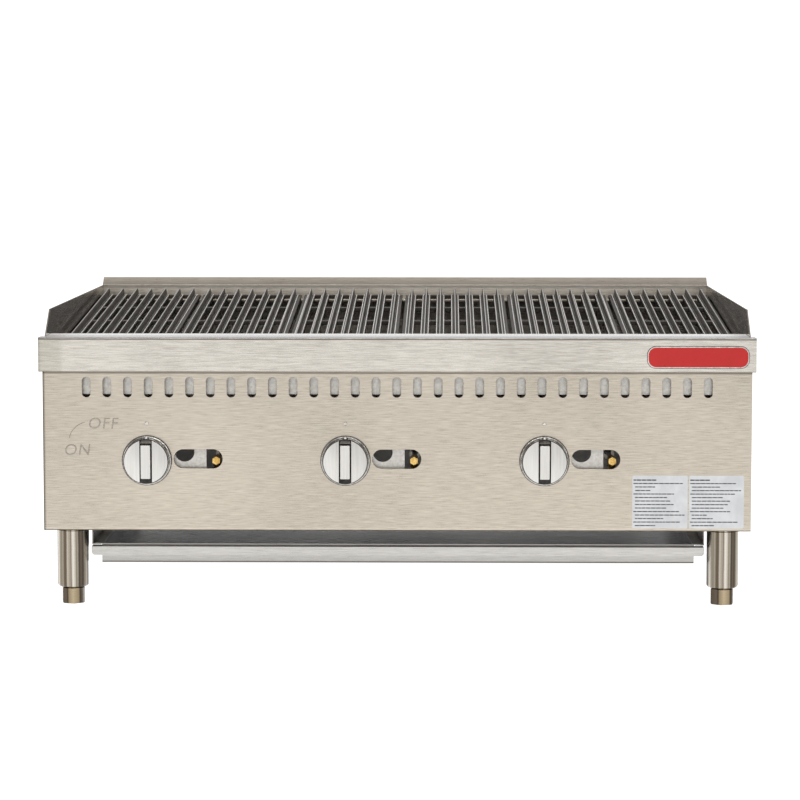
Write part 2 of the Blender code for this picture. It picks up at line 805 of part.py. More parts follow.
def make_pilot_burner(number, x):
    """The pilot's thin tube, which passes the heat shield and ends in a flared head beside the burner."""
    x += PILOT_OFFSET
    start = MANIFOLD_Y + 0.0106
    end = SHIELD_Y + 0.045
    tube_radius = 0.0030
    head_radius = 0.0050
    flare = 0.0070
    head_length = 0.016
    middle = (x, (start + end) / 2, PILOT_Z)
    stem = cylinder(f"pilot_burner_{number}", middle, tube_radius, end - start, "Y", 10, GALVANISED)
    name = f"pilot_head_{number}"
    head = cylinder(name, (x, end, PILOT_Z), head_radius, head_length, "Y", 10, None, cutters, flare)
    return join(stem, head)


# What stands, slides or lifts


def make_leg(name, x, y):
    """A round leg screwed to a base channel, bored from below for its foot."""
    top = BASE_Z - GAP
    bore = FOOT_STEM_RADIUS + FIT
    profile = [
        (0.0, top),
        (LEG_RADIUS, top),
        (LEG_RADIUS, LEG_BOTTOM_Z + 0.006),
        (LEG_RADIUS - 0.0018, LEG_BOTTOM_Z + 0.0018),
        (LEG_RADIUS - 0.006, LEG_BOTTOM_Z),
        (bore, LEG_BOTTOM_Z),
        (bore, top - 0.008),
        (0.0, top - 0.008),
    ]
    return turned(name, profile, (x, y, 0), NICKEL, 24)


def make_foot(name, x, y):
    """A hexagonal foot on a threaded stem that screws up into its leg."""
    height = LEG_BOTTOM_Z - FIT
    hexagon = cylinder(name, (x, y, height / 2), FOOT_RADIUS, height, "Z", 6, NICKEL)
    hexagon.rotation_euler = (0, 0, math.copysign(FOOT_TURN, -x))
    bevel = hexagon.modifiers.new("edges", "BEVEL")
    bevel.width = 0.0012
    bevel.segments = 1
    stem_top = BASE_Z - 0.012
    stem = cylinder(
        f"{name}_stem",
        (x, y, (height / 2 + stem_top) / 2),
        FOOT_STEM_RADIUS,
        stem_top - height / 2,
        "Z",
        12,
        None,
        cutters,
    )
    return join(hexagon, stem)


def make_drip_tray():
    """The pull-out tray: a shallow pan with rims that ride on the rails and a folded lip as its handle."""
    tray = box(
        "drip_tray",
        (-TRAY_HALF, TRAY_FRONT_Y, TRAY_FLOOR_Z),
        (TRAY_HALF, TRAY_REAR_Y, TRAY_RIM_Z),
        STAINLESS,
    )
    well = box(
        "tray_well",
        (-TRAY_HALF + SHEET, TRAY_FRONT_Y + SHEET, TRAY_FLOOR_Z + SHEET),
        (TRAY_HALF - SHEET, TRAY_REAR_Y - SHEET, TRAY_RIM_Z + 0.01),
        None,
        cutters,
    )
    cut(tray, well)
    for side in (-1, 1):
        inner, outer = sorted((side * (TRAY_HALF - SHEET / 2), side * (RAIL_WEB_X - 0.0055)))
        rim = box(
            f"tray_rim_{side}",
            (inner, TRAY_FRONT_Y + 0.004, TRAY_RIM_Z - SHEET),
            (outer, TRAY_REAR_Y, TRAY_RIM_Z),
            None,
            cutters,
        )
        join(tray, rim)
    lip_y = TRAY_FRONT_Y - 0.015
    top = TRAY_RIM_Z - 0.0019
    path = [(TRAY_FRONT_Y + SHEET / 2, top), (lip_y, top), (lip_y, top - TRAY_LIP_HEIGHT)]
    lip = outline("tray_lip", folded(path, SHEET), -TRAY_LIP_HALF, TRAY_LIP_HALF, "X")
    return join(tray, as_mesh(lip, cutters))


def make_grate(number, x):
    """One cast grate: seven fins on a slotted base, tilted so that grease runs to the front trough."""
    half = BAR_PITCH * (BARS - 1) / 2 + 0.0100
    name = f"grate_{number}"
    plate = box(name, (-half, 0, 0), (half, GRATE_LENGTH, GRATE_PLATE), CAST_IRON)
    hole_width = 0.009
    rib_pitch = GRATE_LENGTH / RIB_SPANS
    rib = 0.009
    hole = box(
        f"{name}_holes",
        (-hole_width / 2, rib / 2, -0.01),
        (hole_width / 2, rib_pitch - rib / 2, GRATE_PLATE + 0.01),
        None,
        cutters,
    )
    hole.location.x -= BAR_PITCH * (BARS - 2) / 2
    for count, step in ((BARS - 1, (BAR_PITCH, 0, 0)), (RIB_SPANS, (0, rib_pitch, 0))):
        row = hole.modifiers.new("row", "ARRAY")
        row.count = count
        row.use_relative_offset = False
        row.use_constant_offset = True
        row.constant_offset_displace = step
    cut(plate, hole)
    fin_top = GRATE_PLATE + FIN_HEIGHT
    side_points = [
        (0.0, 0.0005),
        (GRATE_LENGTH, 0.0005),
        (GRATE_LENGTH, fin_top - 0.006),
        (GRATE_LENGTH - 0.0018, fin_top - 0.0018),
        (GRATE_LENGTH - 0.006, fin_top),
        (0.0, fin_top),
    ]
    fin = as_mesh(outline(f"{name}_fins", side_points, -0.002, 0.002, "X"), cutters)
    fin.location.x = -BAR_PITCH * (BARS - 1) / 2
    fins = fin.modifiers.new("row", "ARRAY")
    fins.count = BARS
    fins.use_relative_offset = False
    fins.use_constant_offset = True
    fins.constant_offset_displace = (0, 0, BAR_PITCH)
    join(plate, fin)
    seat = bpy.data.objects.new(f"{name}_seat", None)
    parts.objects.link(seat)
    for piece in (plate, hole, fin):
        piece.parent = seat
    seat.location = (x, GRATE_FRONT_Y, GRATE_FRONT_Z)
    seat.rotation_euler = (GRATE_TILT, 0, 0)
    return plate


def make_nameplate():
    """A small enamelled plate with rounded ends near the rail's right end, left blank."""
    steps = 5
    points = []
    for corner in range(4):
        sx = 1 if corner in (0, 3) else -1
        sz = 1 if corner in (0, 1) else -1
        for step in range(steps + 1):
            angle = math.pi / 2 * (corner + step / steps)
            across = sx * (PLATE_WIDTH / 2 - PLATE_CORNER) + PLATE_CORNER * math.cos(angle)
            up = sz * (PLATE_HEIGHT / 2 - PLATE_CORNER) + PLATE_CORNER * math.sin(angle)
            points.append((PLATE_X + across, PLATE_Z + up))
    face = LIP_Y - GAP - 0.0012
    return outline("nameplate", points, face, LIP_Y - GAP, "Y", ENAMEL)


for side, word in ((-1, "left"), (1, "right")):
    make_side_panel(f"{word}_side_panel", side)
    make_liner(f"{word}_firebox_liner", side)
    make_base_channel(f"{word}_base_channel", side)
    make_tray_rail(f"{word}_tray_rail", side)
    for y, place in ((-LEG_Y, "front"), (LEG_Y, "rear")):
        make_leg(f"leg_{place}_{word}", side * LEG_X, y)
        make_foot(f"foot_{place}_{word}", side * LEG_X, y)
make_rear_panel()
make_control_panel()
make_front_rail()
make_nameplate()
make_vent_shield()
make_valve_bracket()
make_heat_shield()
make_front_grate_support()
make_rear_grate_support()
make_rear_radiant_support()
make_burner_rest()
make_manifold()
make_gas_inlet()
make_drip_tray()
for number, x in enumerate(BURNER_X, 1):
    make_burner(number, x)
    make_air_shutter(number, x)
    make_radiant(number, x)
    make_valve_body(number, x)
    make_valve_stem(number, x)
    make_knob(number, x)
    make_pilot_valve(number, x)
    make_pilot_burner(number, x)
for index in range(GRATE_COUNT):
    make_grate(index + 1, GRATE_PITCH * (index - (GRATE_COUNT - 1) / 2))
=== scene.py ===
import json
import math

import bmesh
import bpy
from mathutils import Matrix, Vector

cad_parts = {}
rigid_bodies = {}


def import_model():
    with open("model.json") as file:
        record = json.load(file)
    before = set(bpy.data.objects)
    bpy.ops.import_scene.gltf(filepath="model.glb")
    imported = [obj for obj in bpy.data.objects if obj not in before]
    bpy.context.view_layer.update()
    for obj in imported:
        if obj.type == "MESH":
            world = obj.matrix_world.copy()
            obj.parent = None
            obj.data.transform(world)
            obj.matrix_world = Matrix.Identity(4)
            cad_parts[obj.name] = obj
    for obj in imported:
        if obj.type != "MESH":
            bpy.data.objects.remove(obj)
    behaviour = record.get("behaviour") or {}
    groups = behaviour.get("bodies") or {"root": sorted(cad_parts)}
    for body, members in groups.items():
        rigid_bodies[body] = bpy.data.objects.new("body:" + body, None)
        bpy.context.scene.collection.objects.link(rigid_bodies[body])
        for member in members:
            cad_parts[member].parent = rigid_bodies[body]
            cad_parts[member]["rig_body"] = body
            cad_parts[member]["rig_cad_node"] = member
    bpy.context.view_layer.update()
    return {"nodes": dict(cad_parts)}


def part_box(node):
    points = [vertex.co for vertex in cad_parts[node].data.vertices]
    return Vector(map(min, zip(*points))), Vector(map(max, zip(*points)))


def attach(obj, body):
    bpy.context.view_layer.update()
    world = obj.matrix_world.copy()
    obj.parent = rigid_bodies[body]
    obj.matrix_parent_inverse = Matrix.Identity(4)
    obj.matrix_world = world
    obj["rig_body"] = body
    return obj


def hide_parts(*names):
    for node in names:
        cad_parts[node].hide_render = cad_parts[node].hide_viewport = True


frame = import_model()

# The camera stands about four metres in front of the grill with a long lens, a little to the right
# of its middle and above its top, so that the tilted grates show over the front rail.
def deselect():
    """Leaves nothing selected, in object mode."""
    if bpy.context.mode != "OBJECT":
        bpy.ops.object.mode_set(mode="OBJECT")
    bpy.ops.object.select_all(action="DESELECT")


deselect()
bpy.ops.object.camera_add(
    location=(0.065, -4.040, 0.6102), rotation=(math.radians(84.736), 0, math.radians(0.939))
)
camera = bpy.context.active_object
camera.name = "camera"
camera.data.sensor_width = 36.0
camera.data.lens = 131.58
bpy.context.scene.camera = camera
bpy.context.scene.view_settings.view_transform = "Standard"

# The studio: a plain pale floor, a white room whose ceiling and side walls are dimmer than the wall
# behind the grill, one large soft light high in front and one low at each side.
def new_finish(name):
    """A new material, its node tree and its shader."""
    made = bpy.data.materials.new(name)
    made.use_nodes = True
    return made, made.node_tree, made.node_tree.nodes["Principled BSDF"]


def add_node(tree, kind, **values):
    """Adds a node. Names with a capital are its inputs, and the others are its settings."""
    made = tree.nodes.new(f"ShaderNode{kind}")
    for label, value in values.items():
        if label[0].isupper():
            made.inputs[label.replace("_", " ")].default_value = value
        else:
            setattr(made, label, value)
    return made


def wire(tree, *runs):
    """Joins sockets. Each run is a node and its output, then a node and its input."""
    for source, leaving, target, entering in runs:
        tree.links.new(source.outputs[leaving], target.inputs[entering])


deselect()
bpy.ops.mesh.primitive_plane_add(size=16.0, location=(0, 2.0, -0.0004))
floor = bpy.context.active_object
floor.name = "floor"
bpy.ops.object.transform_apply(location=True, rotation=False, scale=False)
floor_paint, tree, floor_shader = new_finish("pale floor paint")
floor_shader.inputs["Base Color"].default_value = (0.50, 0.50, 0.50, 1)
floor_shader.inputs["Roughness"].default_value = 0.9
floor_shader.inputs["Specular IOR Level"].default_value = 0.0
floor_shader.inputs["Emission Color"].default_value = (1, 1, 1, 1)
floor_shader.inputs["Emission Strength"].default_value = 0.98
floor.data.materials.append(floor_paint)

studio = bpy.data.worlds.new("studio")
bpy.context.scene.world = studio
studio.use_nodes = True
room = studio.node_tree
room_light = room.nodes["Background"]
room_light.inputs["Strength"].default_value = 1.0
outlook = add_node(room, "TexCoord")
split = add_node(room, "SeparateXYZ")
depthwise = add_node(room, "MapRange", From_Min=-1.0)
walls = add_node(room, "ValToRGB")
walls.color_ramp.elements[0].position = 0.0
walls.color_ramp.elements[0].color = (0.84, 0.83, 0.82, 1)
walls.color_ramp.elements[1].position = 1.0
walls.color_ramp.elements[1].color = (1.25, 1.25, 1.25, 1)
for place, shade in (
    (0.06, (0.82, 0.81, 0.80, 1)),
    (0.13, (0.40, 0.36, 0.33, 1)),
    (0.48, (0.42, 0.39, 0.36, 1)),
    (0.60, (1.05, 1.05, 1.05, 1)),
):
    walls.color_ramp.elements.new(place).color = shade
upward = add_node(room, "MapRange", From_Min=0.35, From_Max=0.85)
roof = add_node(room, "Mix", data_type="RGBA", B=(0.46, 0.44, 0.42, 1))
wire(
    room,
    (outlook, "Generated", split, 0),
    (split, "Y", depthwise, "Value"),
    (depthwise, 0, walls, "Fac"),
    (split, "Z", upward, "Value"),
    (upward, 0, roof, "Factor"),
    (walls, "Color", roof, "A"),
    (roof, "Result", room_light, "Color"),
)

for name, place, aim, size, power in (
    ("key light", (0.3, -2.6, 2.3), (0, 0, 0.25), (2.6, 1.2), 29),
    ("left light", (-3.0, -1.6, 0.9), (0, 0, 0.2), (1.0, 1.6), 12),
    ("right light", (3.0, -1.6, 0.9), (0, 0, 0.2), (1.0, 1.6), 12),
):
    deselect()
    facing = (Vector(aim) - Vector(place)).to_track_quat("-Z", "Y").to_euler()
    bpy.ops.object.light_add(type="AREA", location=place, rotation=facing)
    lamp = bpy.context.active_object
    lamp.name = name
    lamp.data.shape = "RECTANGLE"
    lamp.data.size = size[0]
    lamp.data.size_y = size[1]
    lamp.data.energy = power


# The side panels are single sheets of brushed stainless steel with their grain running front to back.
# Their tops stand above the grates as splash guards. They are folded on a press, so every edge is
# slightly rounded, and their inner faces are dulled by heat and grease.
def only(piece):
    """Leaves one piece selected and active."""
    deselect()
    piece.select_set(True)
    bpy.context.view_layer.objects.active = piece


def copy_of(node, name):
    """A copy of a packed sheet, with its loose triangles merged back to flat faces."""
    only(frame["nodes"][node])
    bpy.ops.object.duplicate()
    piece = bpy.context.active_object
    piece.name = name
    bpy.ops.object.parent_clear(type="CLEAR_KEEP_TRANSFORM")
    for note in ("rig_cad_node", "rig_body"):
        if note in piece:
            del piece[note]
    piece.data.materials.clear()
    bpy.ops.mesh.customdata_custom_splitnormals_clear()
    bpy.ops.object.mode_set(mode="EDIT")
    bpy.ops.mesh.select_all(action="SELECT")
    bpy.ops.mesh.remove_doubles(threshold=0.000004)
    bpy.ops.mesh.dissolve_limited(angle_limit=math.radians(1))
    bpy.ops.mesh.normals_make_consistent(inside=False)
    bpy.ops.object.mode_set(mode="OBJECT")
    return piece


def pick(piece, kind, wanted):
    """In edit mode, selects the edges or faces whose middle and direction or normal are wanted."""
    only(piece)
    bpy.ops.object.mode_set(mode="EDIT")
    bpy.ops.mesh.select_mode(type=kind)
    bpy.ops.mesh.select_all(action="DESELECT")
    shape = bmesh.from_edit_mesh(piece.data)
    if kind == "FACE":
        for face in shape.faces:
            face.select_set(wanted(face.calc_center_median(), face.normal))
    else:
        for edge in shape.edges:
            first, second = (vert.co for vert in edge.verts)
            edge.select_set(wanted((first + second) / 2, (second - first).normalized()))
    bmesh.update_edit_mesh(piece.data)


def rounded(piece, radius, steps=2, angle=35):
    """Rounds every edge sharper than the angle, and shades the flat faces flat."""
    only(piece)
    edge = piece.modifiers.new("edges", "BEVEL")
    edge.width = radius
    edge.segments = steps
    edge.limit_method = "ANGLE"
    edge.angle_limit = math.radians(angle)
    bpy.ops.object.modifier_apply(modifier=edge.name)
    bpy.ops.object.shade_smooth_by_angle(angle=math.radians(angle + 5))
    even = piece.modifiers.new("even", "WEIGHTED_NORMAL")
    even.keep_sharp = True
    bpy.ops.object.modifier_apply(modifier=even.name)
    return piece


def stand_for(piece, finish, body, slot, *nodes):
    """Gives a finished piece its material and the body that it moves with, and hides the nodes it stands
    for.
    """
    piece.data.materials.clear()
    piece.data.materials.append(finish)
    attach(piece, body)
    if nodes:
        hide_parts(*nodes)


def new_group(name, inputs, outputs):
    """A node group with its inputs and outputs named."""
    tree = bpy.data.node_groups.new(name, "ShaderNodeTree")
    for label, kind, value in inputs:
        made = tree.interface.new_socket(name=label, in_out="INPUT", socket_type=kind)
        if value is not None:
            made.default_value = value
    for label, kind in outputs:
        tree.interface.new_socket(name=label, in_out="OUTPUT", socket_type=kind)
    return tree, tree.nodes.new("NodeGroupInput"), tree.nodes.new("NodeGroupOutput")


brushed_grain, given, result = new_group(
    "brushed grain",
    [("Vector", "NodeSocketVector", None), ("Stretch", "NodeSocketVector", (8, 700, 700))],
    [("Streaks", "NodeSocketFloat"), ("Smudges", "NodeSocketFloat")],
)
stretched = add_node(brushed_grain, "VectorMath", operation="MULTIPLY")
fine = add_node(brushed_grain, "TexNoise", Scale=1.0, Detail=3.0, Roughness=0.65)
coarse = add_node(brushed_grain, "VectorMath", operation="MULTIPLY")
coarse.inputs[1].default_value = (0.7, 0.5, 0.5)
bands = add_node(brushed_grain, "TexNoise", Scale=1.0, Detail=2.0, Roughness=0.5)
blend = add_node(brushed_grain, "Mix", Factor=0.5)
smudge = add_node(brushed_grain, "TexNoise", Scale=5.0, Detail=4.0, Roughness=0.55)
wire(
    brushed_grain,
    (given, "Vector", stretched, 0),
    (given, "Stretch", stretched, 1),
    (stretched, 0, fine, "Vector"),
    (stretched, 0, coarse, 0),
    (coarse, 0, bands, "Vector"),
    (fine, "Fac", blend, "A"),
    (bands, "Fac", blend, "B"),
    (given, "Vector", smudge, "Vector"),
    (blend, "Result", result, "Streaks"),
    (smudge, "Fac", result, "Smudges"),
)


def brushed_steel(name, dark, light, stretch, low_gloss, high_gloss):
    """Stainless steel brushed along the axis in which the grain is stretched least."""
    made, tree, shader = new_finish(name)
    shader.inputs["Metallic"].default_value = 1.0
    place = add_node(tree, "TexCoord")
    grain = add_node(tree, "Group", node_tree=brushed_grain, Stretch=stretch)
    tone = add_node(tree, "MapRange", From_Min=0.38, From_Max=0.62)
    tint = add_node(tree, "Mix", data_type="RGBA", A=(*dark, 1), B=(*light, 1))
    wiped = add_node(tree, "Mix", Factor=0.22)
    dull = add_node(tree, "MapRange", From_Min=0.35, From_Max=0.65, To_Min=high_gloss, To_Max=low_gloss)
    scratches = add_node(tree, "Bump", Strength=0.16, Distance=0.0004)
    wire(
        tree,
        (place, "Object", grain, "Vector"),
        (grain, "Streaks", wiped, "A"),
        (grain, "Smudges", wiped, "B"),
        (wiped, "Result", tone, "Value"),
        (tone, 0, tint, "Factor"),
        (tint, "Result", shader, "Base Color"),
        (wiped, "Result", dull, "Value"),
        (dull, 0, shader, "Roughness"),
        (grain, "Streaks", scratches, "Height"),
        (scratches, 0, shader, "Normal"),
    )
    return made


def painted_light_along(made, axis, *stops):
    """Paints shade and light into a colour along an axis. Each stop is a place in metres and a colour.
    """
    tree = made.node_tree
    shader = tree.nodes["Principled BSDF"]
    paint = shader.inputs["Base Color"].links[0].from_socket
    first, last = stops[0][0], stops[-1][0]
    place = add_node(tree, "TexCoord")
    parts = add_node(tree, "SeparateXYZ")
    span = add_node(tree, "MapRange", From_Min=first, From_Max=last)
    painted_ramp = add_node(tree, "ValToRGB")
    marks = painted_ramp.color_ramp.elements
    for number, (at, shade) in enumerate(stops):
        part = (at - first) / (last - first)
        mark = marks[0] if number == 0 else marks.new(part)
        mark.position = part
        mark.color = (*shade, 1)
    marks.remove(marks[-1])
    cover = add_node(tree, "Mix", data_type="RGBA", blend_type="MULTIPLY", Factor=1.0)
    tree.links.new(paint, cover.inputs["A"])
    wire(
        tree,
        (place, "Object", parts, 0),
        (parts, axis, span, "Value"),
        (span, 0, painted_ramp, "Fac"),
        (painted_ramp, "Color", cover, "B"),
        (cover, "Result", shader, "Base Color"),
    )
    return made


# The first colour leaves a finish as it is. The second is a painted shade for dark lines along edges and
# folds.
unshaded = (1.0, 1.0, 1.0)
edge_shade = (0.22, 0.20, 0.18)
along_x = (60, 1500, 1500)
along_y = (1500, 60, 1500)
sheet_edge = 0.00045
side_steel = brushed_steel(
    "side panel steel", (0.38, 0.345, 0.305), (0.54, 0.50, 0.445), along_y, 0.24, 0.14
)
for word in ("left", "right"):
    side_sheet = copy_of(f"{word}_side_panel", f"{word}_side_sheet")
    rounded(side_sheet, sheet_edge)
    stand_for(side_sheet, side_steel, "body", "brushed_stainless", f"{word}_side_panel")

# Pan-head screws hold the liners to the side panels. Their heads are pressed from plated steel, with
# a cross slot for the driver, and stand on the outside of the panels.
def bar(name, low, high):
    """A straight-sided blank between two corners."""
    low, high = Vector(low), Vector(high)
    deselect()
    bpy.ops.mesh.primitive_cube_add(size=1, location=(low + high) / 2, scale=high - low)
    made = bpy.context.active_object
    made.name = name
    bpy.ops.object.transform_apply(location=True, rotation=True, scale=True)
    return made


def round_bar(name, place, radius, length, axis="Y", sides=48):
    """A round blank along an axis, centred on its place."""
    deselect()
    turn = {"X": (0, math.pi / 2, 0), "Y": (math.pi / 2, 0, 0), "Z": (0, 0, 0)}[axis]
    bpy.ops.mesh.primitive_cylinder_add(
        vertices=sides, radius=radius, depth=length, location=place, rotation=turn
    )
    made = bpy.context.active_object
    made.name = name
    bpy.ops.object.transform_apply(location=True, rotation=True, scale=True)
    return made


def cut_with(piece, tool):
    """Cuts a tool's shape out of a piece, and throws the tool away."""
    only(piece)
    cutting = piece.modifiers.new("cut", "BOOLEAN")
    cutting.operation = "DIFFERENCE"
    cutting.solver = "EXACT"
    cutting.object = tool
    bpy.ops.object.modifier_apply(modifier=cutting.name)
    bpy.data.objects.remove(tool, do_unlink=True)


def copied(blank, name, place, turn=(0, 0, 0)):
    """A copy of a blank, turned and moved to its place."""
    only(blank)
    bpy.ops.object.duplicate()
    made = bpy.context.active_object
    made.name = name
    made.rotation_euler = turn
    made.location = place
    bpy.ops.object.transform_apply(location=True, rotation=True, scale=False)
    return made


def joined(pieces, name):
    """Joins pieces that are fixed together, and names the whole."""
    only(pieces[0])
    for piece in pieces:
        piece.select_set(True)
    bpy.ops.object.join()
    pieces[0].name = name
    return pieces[0]


screw_plating = brushed_steel(
    "screw plating", (0.40, 0.38, 0.35), (0.72, 0.70, 0.66), (300, 300, 300), 0.30, 0.18
)
head_height = 0.0019
slot_reach, slot_half = 0.0022, 0.00045
slot_foot, slot_top = 0.0011, 0.0025
screw_head = round_bar("screw_head", (0, 0, head_height / 2), 0.0042, head_height, "Z", 28)
for x, y in ((slot_reach, slot_half), (slot_half, slot_reach)):
    cut_with(screw_head, bar("slot_tool", (-x, -y, slot_foot), (x, y, slot_top)))
rounded(screw_head, 0.0005, 2, 60)
screw_places = [
    (side, y, z) for y in (-0.050, 0.140, 0.310) for z in (0.120, 0.270) for side in (1, -1)
]
screw_places += [(1, -0.306, 0.120), (1, -0.306, 0.270)]
side_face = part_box("right_side_panel")[1].x - 0.0001
heads = []
for side, y, z in screw_places:
    heads.append(copied(screw_head, "screw", (side * side_face, y, z), (0, side * math.pi / 2, 0)))
stand_for(joined(heads, "side_screws"), screw_plating, "body", "brushed_stainless")

# The back of the grill: one brushed sheet whose top edge is bent backwards as a flange. It carries the
# rear grate support inside, and the gas pipe passes through it.
back_steel = brushed_steel(
    "rear panel steel", (0.70, 0.645, 0.565), (0.96, 0.90, 0.80), along_x, 0.36, 0.26
)
low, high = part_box("rear_panel")
flange_shade = (0.54, 0.54, 0.54)
# Painted shade: the flange bent backwards at the top is darkened, as it is seen in shade.
painted_light_along(
    back_steel,
    "Z",
    (low.z, unshaded),
    (high.z - 0.0170, unshaded),
    (high.z - 0.0140, flange_shade),
    (high.z, flange_shade),
)
back_sheet = copy_of("rear_panel", "back_sheet")
rounded(back_sheet, sheet_edge)
stand_for(back_sheet, back_steel, "body", "brushed_stainless", "rear_panel")
outside_steel = brushed_steel(
    "rear panel outside", (0.30, 0.27, 0.235), (0.46, 0.42, 0.37), along_x, 0.36, 0.26
)
back_sheet.data.materials.append(outside_steel)
for polygon in back_sheet.data.polygons:
    if polygon.normal.y > 0.5 or polygon.normal.z < -0.5:
        polygon.material_index = 1
rear_sheet = 0.0029
rear_face = low.y + rear_sheet
heads = []
for x in (-0.435, -0.22, 0.0, 0.22, 0.435):
    for z in (0.115, 0.345):
        heads.append(copied(screw_head, "screw", (x, rear_face, z), (-math.pi / 2, 0, 0)))
stand_for(joined(heads, "rear_screws"), screw_plating, "body", "brushed_stainless")
bpy.data.objects.remove(screw_head, do_unlink=True)

# The firebox and its fittings are plain steel, browned and dulled by heat: the front heat shield, the
# two liners, the radiants over the burners, the burners themselves and the bars that carry them.
heat_marks, given, result = new_group(
    "heat marks",
    [("Vector", "NodeSocketVector", None), ("Scale", "NodeSocketFloat", 18.0)],
    [("Blotch", "NodeSocketFloat"), ("Pitting", "NodeSocketFloat")],
)
blotch = add_node(heat_marks, "TexNoise", Detail=5.0, Roughness=0.6, Distortion=0.4)
pits = add_node(heat_marks, "TexNoise", Scale=420.0, Detail=3.0, Roughness=0.7)
wire(
    heat_marks,
    (given, "Vector", blotch, "Vector"),
    (given, "Scale", blotch, "Scale"),
    (given, "Vector", pits, "Vector"),
    (blotch, "Fac", result, "Blotch"),
    (pits, "Fac", result, "Pitting"),
)


def marked_metal(name, dark, light, metal, roughness, scale, bump):
    """Metal with blotches of two colours and a pitted skin."""
    made, tree, shader = new_finish(name)
    shader.inputs["Metallic"].default_value = metal
    place = add_node(tree, "TexCoord")
    marks = add_node(tree, "Group", node_tree=heat_marks, Scale=scale)
    spread = add_node(tree, "MapRange", From_Min=0.38, From_Max=0.62)
    tint = add_node(tree, "Mix", data_type="RGBA", A=(*dark, 1), B=(*light, 1))
    dull = add_node(tree, "MapRange", To_Min=roughness - 0.10, To_Max=roughness + 0.14)
    skin = add_node(tree, "Bump", Strength=bump, Distance=0.0005)
    wire(
        tree,
        (place, "Object", marks, "Vector"),
        (marks, "Blotch", spread, "Value"),
        (spread, 0, tint, "Factor"),
        (tint, "Result", shader, "Base Color"),
        (marks, "Pitting", dull, "Value"),
        (dull, 0, shader, "Roughness"),
        (marks, "Pitting", skin, "Height"),
        (skin, 0, shader, "Normal"),
    )
    return made


def refinish(finish, *names):
    """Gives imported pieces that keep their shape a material."""
    for name in names:
        for held in frame["nodes"][name].material_slots:
            held.material = finish


heated_plate = marked_metal(
    "heated plate", (0.016, 0.013, 0.011), (0.055, 0.040, 0.030), 0.75, 0.55, 14.0, 0.25
)
heated_tube = marked_metal(
    "heated tube", (0.05, 0.042, 0.036), (0.14, 0.105, 0.075), 0.85, 0.48, 22.0, 0.20
)
shield_plate = marked_metal(
    "shield plate", (0.30, 0.29, 0.28), (0.46, 0.44, 0.42), 0.6, 0.50, 14.0, 0.15
)
refinish(shield_plate, "heat_shield")
refinish(
    heated_plate,
    "left_firebox_liner",
    "right_firebox_liner",
    "rear_radiant_support",
    "burner_rest",
    "radiant_1",
    "radiant_2",
    "radiant_3",
)
refinish(heated_tube, "burner_1", "burner_2", "burner_3")
grate_bearer_steel = brushed_steel(
    "grate bearer steel", (0.30, 0.27, 0.23), (0.48, 0.44, 0.39), along_x, 0.42, 0.30
)
refinish(grate_bearer_steel, "front_grate_support", "rear_grate_support")

# The gas train behind the control panel: a black manifold pipe with brass valves standing on it, an
# inlet pipe to the rear, galvanised air shutters and pilot tubes.
pipe_black = marked_metal(
    "black pipe", (0.025, 0.024, 0.023), (0.07, 0.065, 0.06), 0.5, 0.50, 30.0, 0.30
)
refinish(pipe_black, "gas_manifold", "gas_inlet_pipe")
zinc = marked_metal(
    "zinc coating", (0.48, 0.46, 0.43), (0.60, 0.58, 0.55), 0.9, 0.42, 300.0, 0.10
)
turned_brass = marked_metal(
    "turned brass", (0.62, 0.40, 0.12), (0.95, 0.68, 0.26), 1.0, 0.26, 90.0, 0.06
)
for number in (1, 2, 3):
    refinish(zinc, f"air_shutter_{number}", f"pilot_burner_{number}")
    refinish(turned_brass, f"valve_body_{number}", f"valve_stem_{number}")
refinish(zinc, "left_base_channel", "right_base_channel")

# Each pilot valve is a small brass hexagon with a drilled screw in its end. It shows through the
# right end of a sight slot.
for number in (1, 2, 3):
    low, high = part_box(f"pilot_valve_{number}")
    pilot = copy_of(f"pilot_valve_{number}", f"pilot_hexagon_{number}")
    pick(pilot, "FACE", lambda middle, normal: normal.y < -0.9 and middle.y < low.y + 0.001)
    bpy.ops.mesh.inset(thickness=0.0013)
    bpy.ops.mesh.extrude_region_move(TRANSFORM_OT_translate={"value": (0, -0.0012, 0)})
    bpy.ops.mesh.inset(thickness=0.0016)
    bpy.ops.mesh.extrude_region_move(TRANSFORM_OT_translate={"value": (0, 0.0016, 0)})
    bpy.ops.object.mode_set(mode="OBJECT")
    rounded(pilot, 0.0003)
    stand_for(pilot, turned_brass, "body", "brass", f"pilot_valve_{number}")

# The galvanised vent shield stands a little way behind the vent slots, and the valve bracket close
# behind the sight slots. Holes punched in the bracket look in on the burner mouths.
vent_sheet = copy_of("vent_shield", "vent_sheet")
rounded(vent_sheet, 0.0003)
stand_for(vent_sheet, zinc, "body", "galvanised_steel", "vent_shield")
burner_pitch = 0.254
burner_x = (-burner_pitch, 0.0, burner_pitch)
knob_offset = 0.0655
knob_z = 0.1902
tool_reach = 0.01
low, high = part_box("valve_bracket")
bracket = bar("bracket_plate", low, high)
for x in burner_x:
    cut_with(bracket, round_bar("stem_tool", (x - knob_offset, low.y, knob_z), 0.009, 2 * tool_reach))
    look_place = (x - 0.018, low.y, knob_z + 0.010)
    cut_with(bracket, round_bar("look_tool", look_place, 0.0125, 2 * tool_reach, "Y", 64))
    window_low = (x + 0.010, low.y - tool_reach, knob_z - 0.016)
    window_high = (x + 0.048, low.y + tool_reach, knob_z + 0.020)
    cut_with(bracket, bar("window_tool", window_low, window_high))
rounded(bracket, 0.0002)
stand_for(bracket, zinc, "body", "galvanised_steel", "valve_bracket")

